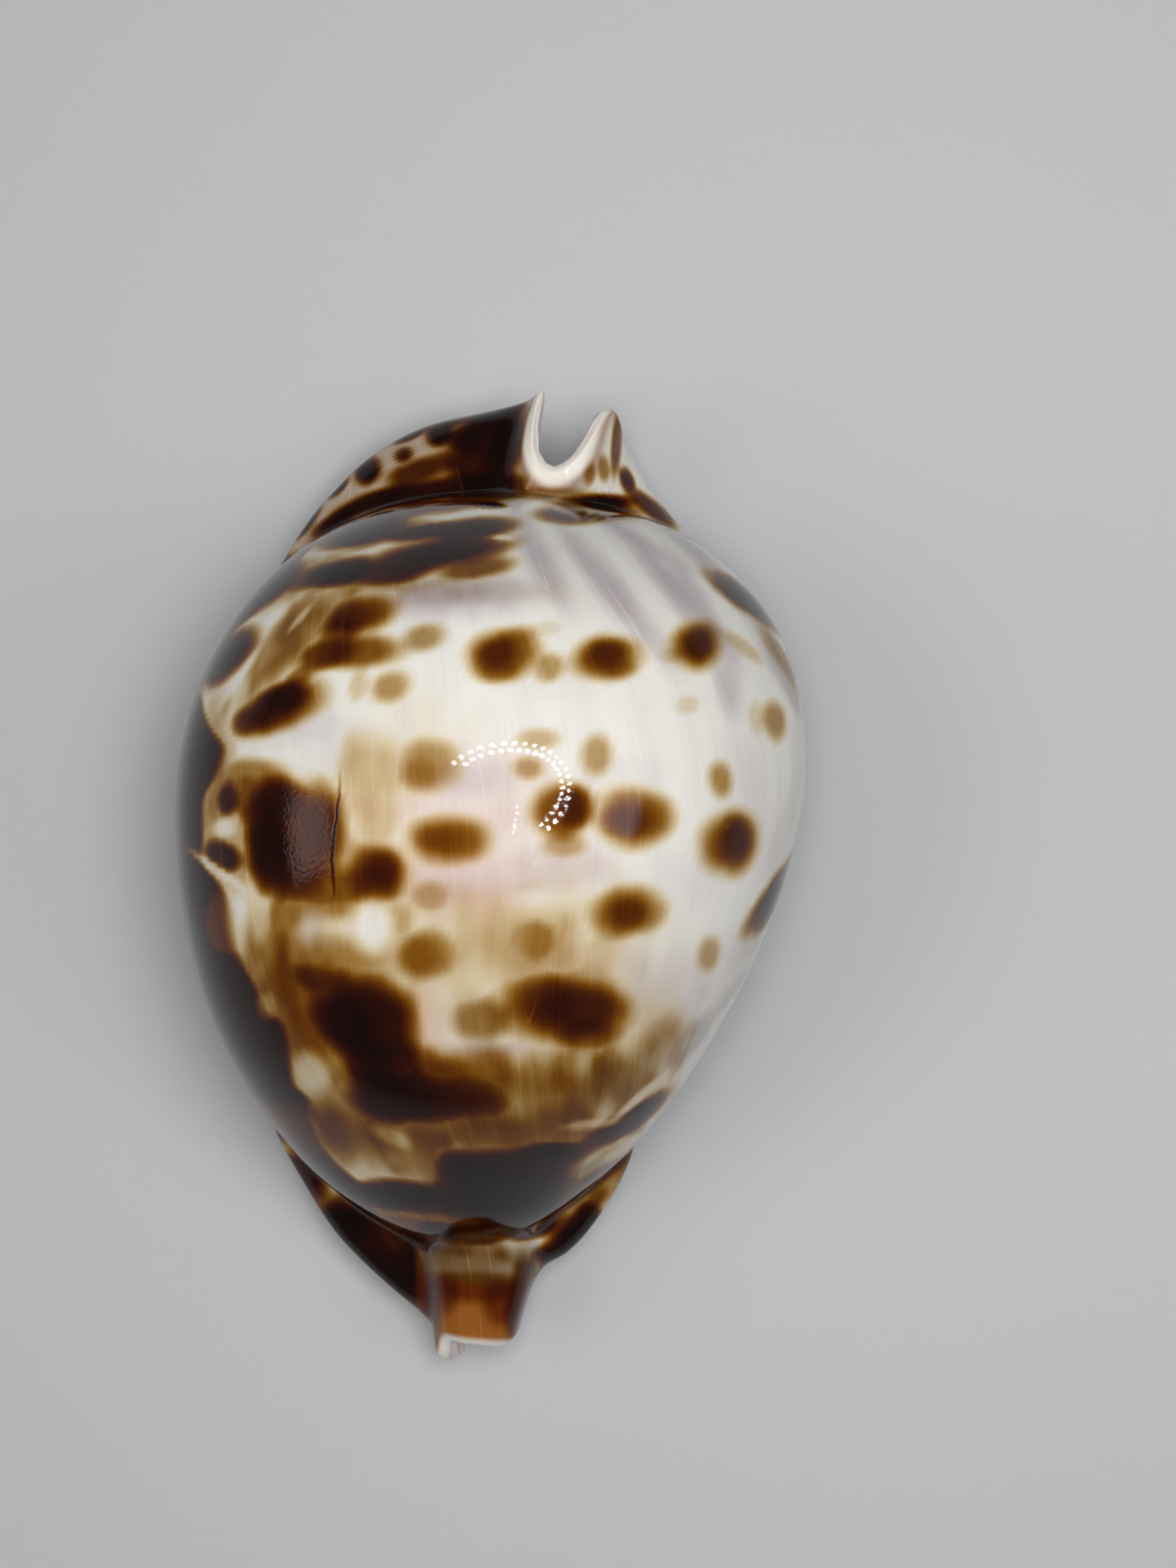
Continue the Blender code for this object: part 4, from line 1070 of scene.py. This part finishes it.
def enamel():
    """Glossy enamel over the markings, with growth lines, a healed crack and fine pits."""
    nodes = Nodes(bpy.data.materials.new("cowrie_enamel"), "Principled BSDF")
    ground, pigment = nodes.attribute("ground", "Color"), nodes.attribute("pigment")
    flow = nodes.add("ShaderNodeUVMap", {"uv_map": "flow"}).outputs[0]
    split = nodes.add("ShaderNodeSeparateXYZ", None, Vector=flow)
    around, along = split.outputs[0], split.outputs[1]
    fine = nodes.noise(nodes.stretched(flow, FINE_STREAKS), 1.0, 5.0, 0.72)
    broad = nodes.noise(nodes.stretched(flow, BROAD_STREAKS), 1.0)

    streak = nodes.minus(nodes.plus(fine, broad), 1.0)
    edge = nodes.times(pigment, nodes.minus(1.0, pigment))
    density = nodes.plus(pigment, nodes.times(nodes.times(streak, edge), STREAK_STRENGTH), clamp=True)
    contour = nodes.times(nodes.noise(nodes.stretched(flow, LINE_SCALE), 1.0, 1.0), LINE_COUNT)
    from_line = nodes.math("ABSOLUTE", nodes.minus(nodes.math("FRACT", contour), 0.5))
    growth_line = nodes.times(nodes.step(from_line, LINE_WIDTH, 0.0), nodes.step(broad, *LINE_PRESENCE))
    density = nodes.times(density, nodes.minus(1.0, nodes.times(growth_line, LINE_THINS)))
    crack = crack_mask(nodes, around, along, flow)
    density = nodes.plus(density, nodes.times(crack, CRACK_DENSITY), clamp=True)
    stain = nodes.ramp(density, PIGMENT_STOPS)

    taupe = nodes.times(nodes.attribute("deep"), nodes.plus(TAUPE_STRENGTH, streak), clamp=True)
    clouded = nodes.mix("MULTIPLY", taupe, ground, (*DEEP_TAUPE, 1.0))
    shade = nodes.ramp(nodes.plus(0.5, nodes.times(streak, SHADE_STRENGTH)), SHADE_STOPS)
    lined = nodes.mix("MULTIPLY", 1.0, clouded, shade)
    lined = nodes.mix("MIX", nodes.times(growth_line, LINE_WHITENS), lined, (*RIM_WHITE, 1.0))
    nodes.link(nodes.mix("MULTIPLY", 1.0, lined, stain), "Base Color")

    worn = nodes.times(nodes.between(around, *WORN_ROUND), nodes.between(along, *WORN_ALONG))
    place = nodes.add("ShaderNodeTexCoord").outputs["Object"]
    pits = nodes.times(nodes.noise(place, PIT_SCALE, 2.0, 0.6), nodes.times(pigment, PIT_HEIGHT))
    swell = nodes.times(nodes.noise(place, SWELL_SCALE), SWELL_HEIGHT)
    bumps = nodes.minus(nodes.plus(pits, swell), nodes.times(crack, CRACK_DEPTH))
    wear = nodes.times(nodes.noise(place, WORN_SCALE, 2.0, 0.6), nodes.times(worn, WORN_HEIGHT))
    bump = nodes.add(
        "ShaderNodeBump", None,
        Height=nodes.plus(bumps, wear), Strength=BUMP_STRENGTH, Distance=BUMP_DISTANCE,
    )
    nodes.link(bump.outputs[0], "Normal")
    nodes.link(nodes.plus(ROUGHNESS, nodes.times(pigment, PIGMENT_ROUGHNESS)), "Roughness")
    nodes.shown.inputs["IOR"].default_value = REFRACTION
    nodes.shown.inputs["Specular IOR Level"].default_value = SPECULAR_LEVEL
    return nodes.owner


def pale_floor():
    """A wide plain floor."""
    mesh = bpy.data.meshes.new("floor")
    corners = [(x * FLOOR_HALF, y * FLOOR_HALF, 0) for x, y in ((-1, -1), (1, -1), (1, 1), (-1, 1))]
    mesh.from_pydata(corners, [], [(0, 1, 2, 3)])
    floor = bpy.data.objects.new("floor", mesh)
    bpy.context.scene.collection.objects.link(floor)
    nodes = Nodes(bpy.data.materials.new("pale_floor"), "Principled BSDF")
    nodes.shown.inputs["Base Color"].default_value = FLOOR_COLOUR
    nodes.shown.inputs["Roughness"].default_value = FLOOR_ROUGHNESS
    mesh.materials.append(nodes.owner)


def camera(skin):
    """Straight above the shell, a little off its middle and turned as the photograph is."""
    lens = bpy.data.cameras.new("camera")
    lens.sensor_width = SENSOR
    lens.lens = (CAMERA_HEIGHT - SCALE_HEIGHT) / MM_PER_PIXEL / PHOTO_LONG_SIDE * SENSOR
    lens.clip_start = NEAREST_SEEN
    seen = bpy.data.objects.new("camera", lens)
    x = AXIS_RIGHT * math.cos(SHELL_TILT) - AXIS_UP * math.sin(SHELL_TILT) + skin.shift[0]
    y = AXIS_RIGHT * math.sin(SHELL_TILT) + AXIS_UP * math.cos(SHELL_TILT) + skin.shift[1]
    seen.location = (x * MM, y * MM, CAMERA_HEIGHT * MM)
    seen.rotation_euler = (0, 0, SHELL_TILT)
    bpy.context.scene.collection.objects.link(seen)
    bpy.context.scene.camera = seen


def add_lamp(name, kind, place, power):
    """A lamp of one kind, at a place in metres."""
    light = bpy.data.lights.new(name, kind)
    light.energy = power
    lamp = bpy.data.objects.new(name, light)
    lamp.location = place
    bpy.context.scene.collection.objects.link(lamp)
    return lamp


def small_lamp(name, x, y, size, power):
    """A small round lamp a little above the camera, which shows in the gloss and adds no diffuse light."""
    lamp = add_lamp(name, "POINT", (x, y, LAMP_MIDDLE[2]), power)
    lamp.data.shadow_soft_size = size
    lamp.visible_diffuse = False


def ring_lamp():
    """Small lamps in a double arc about the camera, and a short row beside them."""
    for row, radius in enumerate(LAMP_RADII):
        for k in range(LAMP_COUNT):
            angle = math.radians(LAMP_FROM + (LAMP_TO - LAMP_FROM) * (k + 0.5 * row) / LAMP_COUNT)
            x = LAMP_MIDDLE[0] + radius * math.cos(angle)
            y = LAMP_MIDDLE[1] + radius * math.sin(angle)
            small_lamp("ring_lamp", x, y, LAMP_SIZE, LAMP_POWER)
    for k in range(ROW_COUNT):
        y = ROW_FROM_Y + (ROW_TO_Y - ROW_FROM_Y) * k / (ROW_COUNT - 1)
        small_lamp("row_lamp", ROW_X, y, ROW_SIZE, ROW_POWER)


def softbox(name, place, width, height, power, colour):
    """An upright light that faces the shell and fades out towards its edges."""
    lamp = add_lamp(name, "AREA", place, power)
    lamp.data.shape = "RECTANGLE"
    lamp.data.size = width
    lamp.data.size_y = height
    lamp.data.color = colour
    lamp.rotation_euler = (math.radians(90), 0, math.radians(-90 if place[0] < 0 else 90))
    nodes = Nodes(lamp.data, "Emission")
    over = nodes.add("ShaderNodeNewGeometry").outputs["Parametric"]
    sides = nodes.add("ShaderNodeSeparateXYZ", None, Vector=over).outputs
    room = [nodes.math("PINGPONG", sides[axis], 0.5) for axis in (0, 1)]
    nodes.link(nodes.times(*[nodes.step(share, 0.0, SOFTBOX_EDGE) for share in room]), "Strength")


def studio():
    """The room's faint light, the lamp above, the ring about the camera and the soft lights."""
    world = bpy.data.worlds.new("studio")
    room = Nodes(world, "Background")
    room.shown.inputs["Color"].default_value = ROOM_COLOUR
    room.shown.inputs["Strength"].default_value = ROOM_STRENGTH
    bpy.context.scene.world = world
    bpy.context.scene.view_settings.view_transform = "Standard"
    key = add_lamp("key", "AREA", KEY_PLACE, KEY_POWER)
    key.data.shape = "DISK"
    key.data.size = KEY_SIZE
    key.visible_glossy = False
    ring_lamp()
    for box in SOFTBOXES:
        softbox(*box)


def main():
    skin = Skin()
    camera(skin)
    studio()
    pale_floor()
    shell = shell_object(skin)
    shell.data.materials.append(enamel())
    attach(shell, "root")
    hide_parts("cowrie_shell")


main()
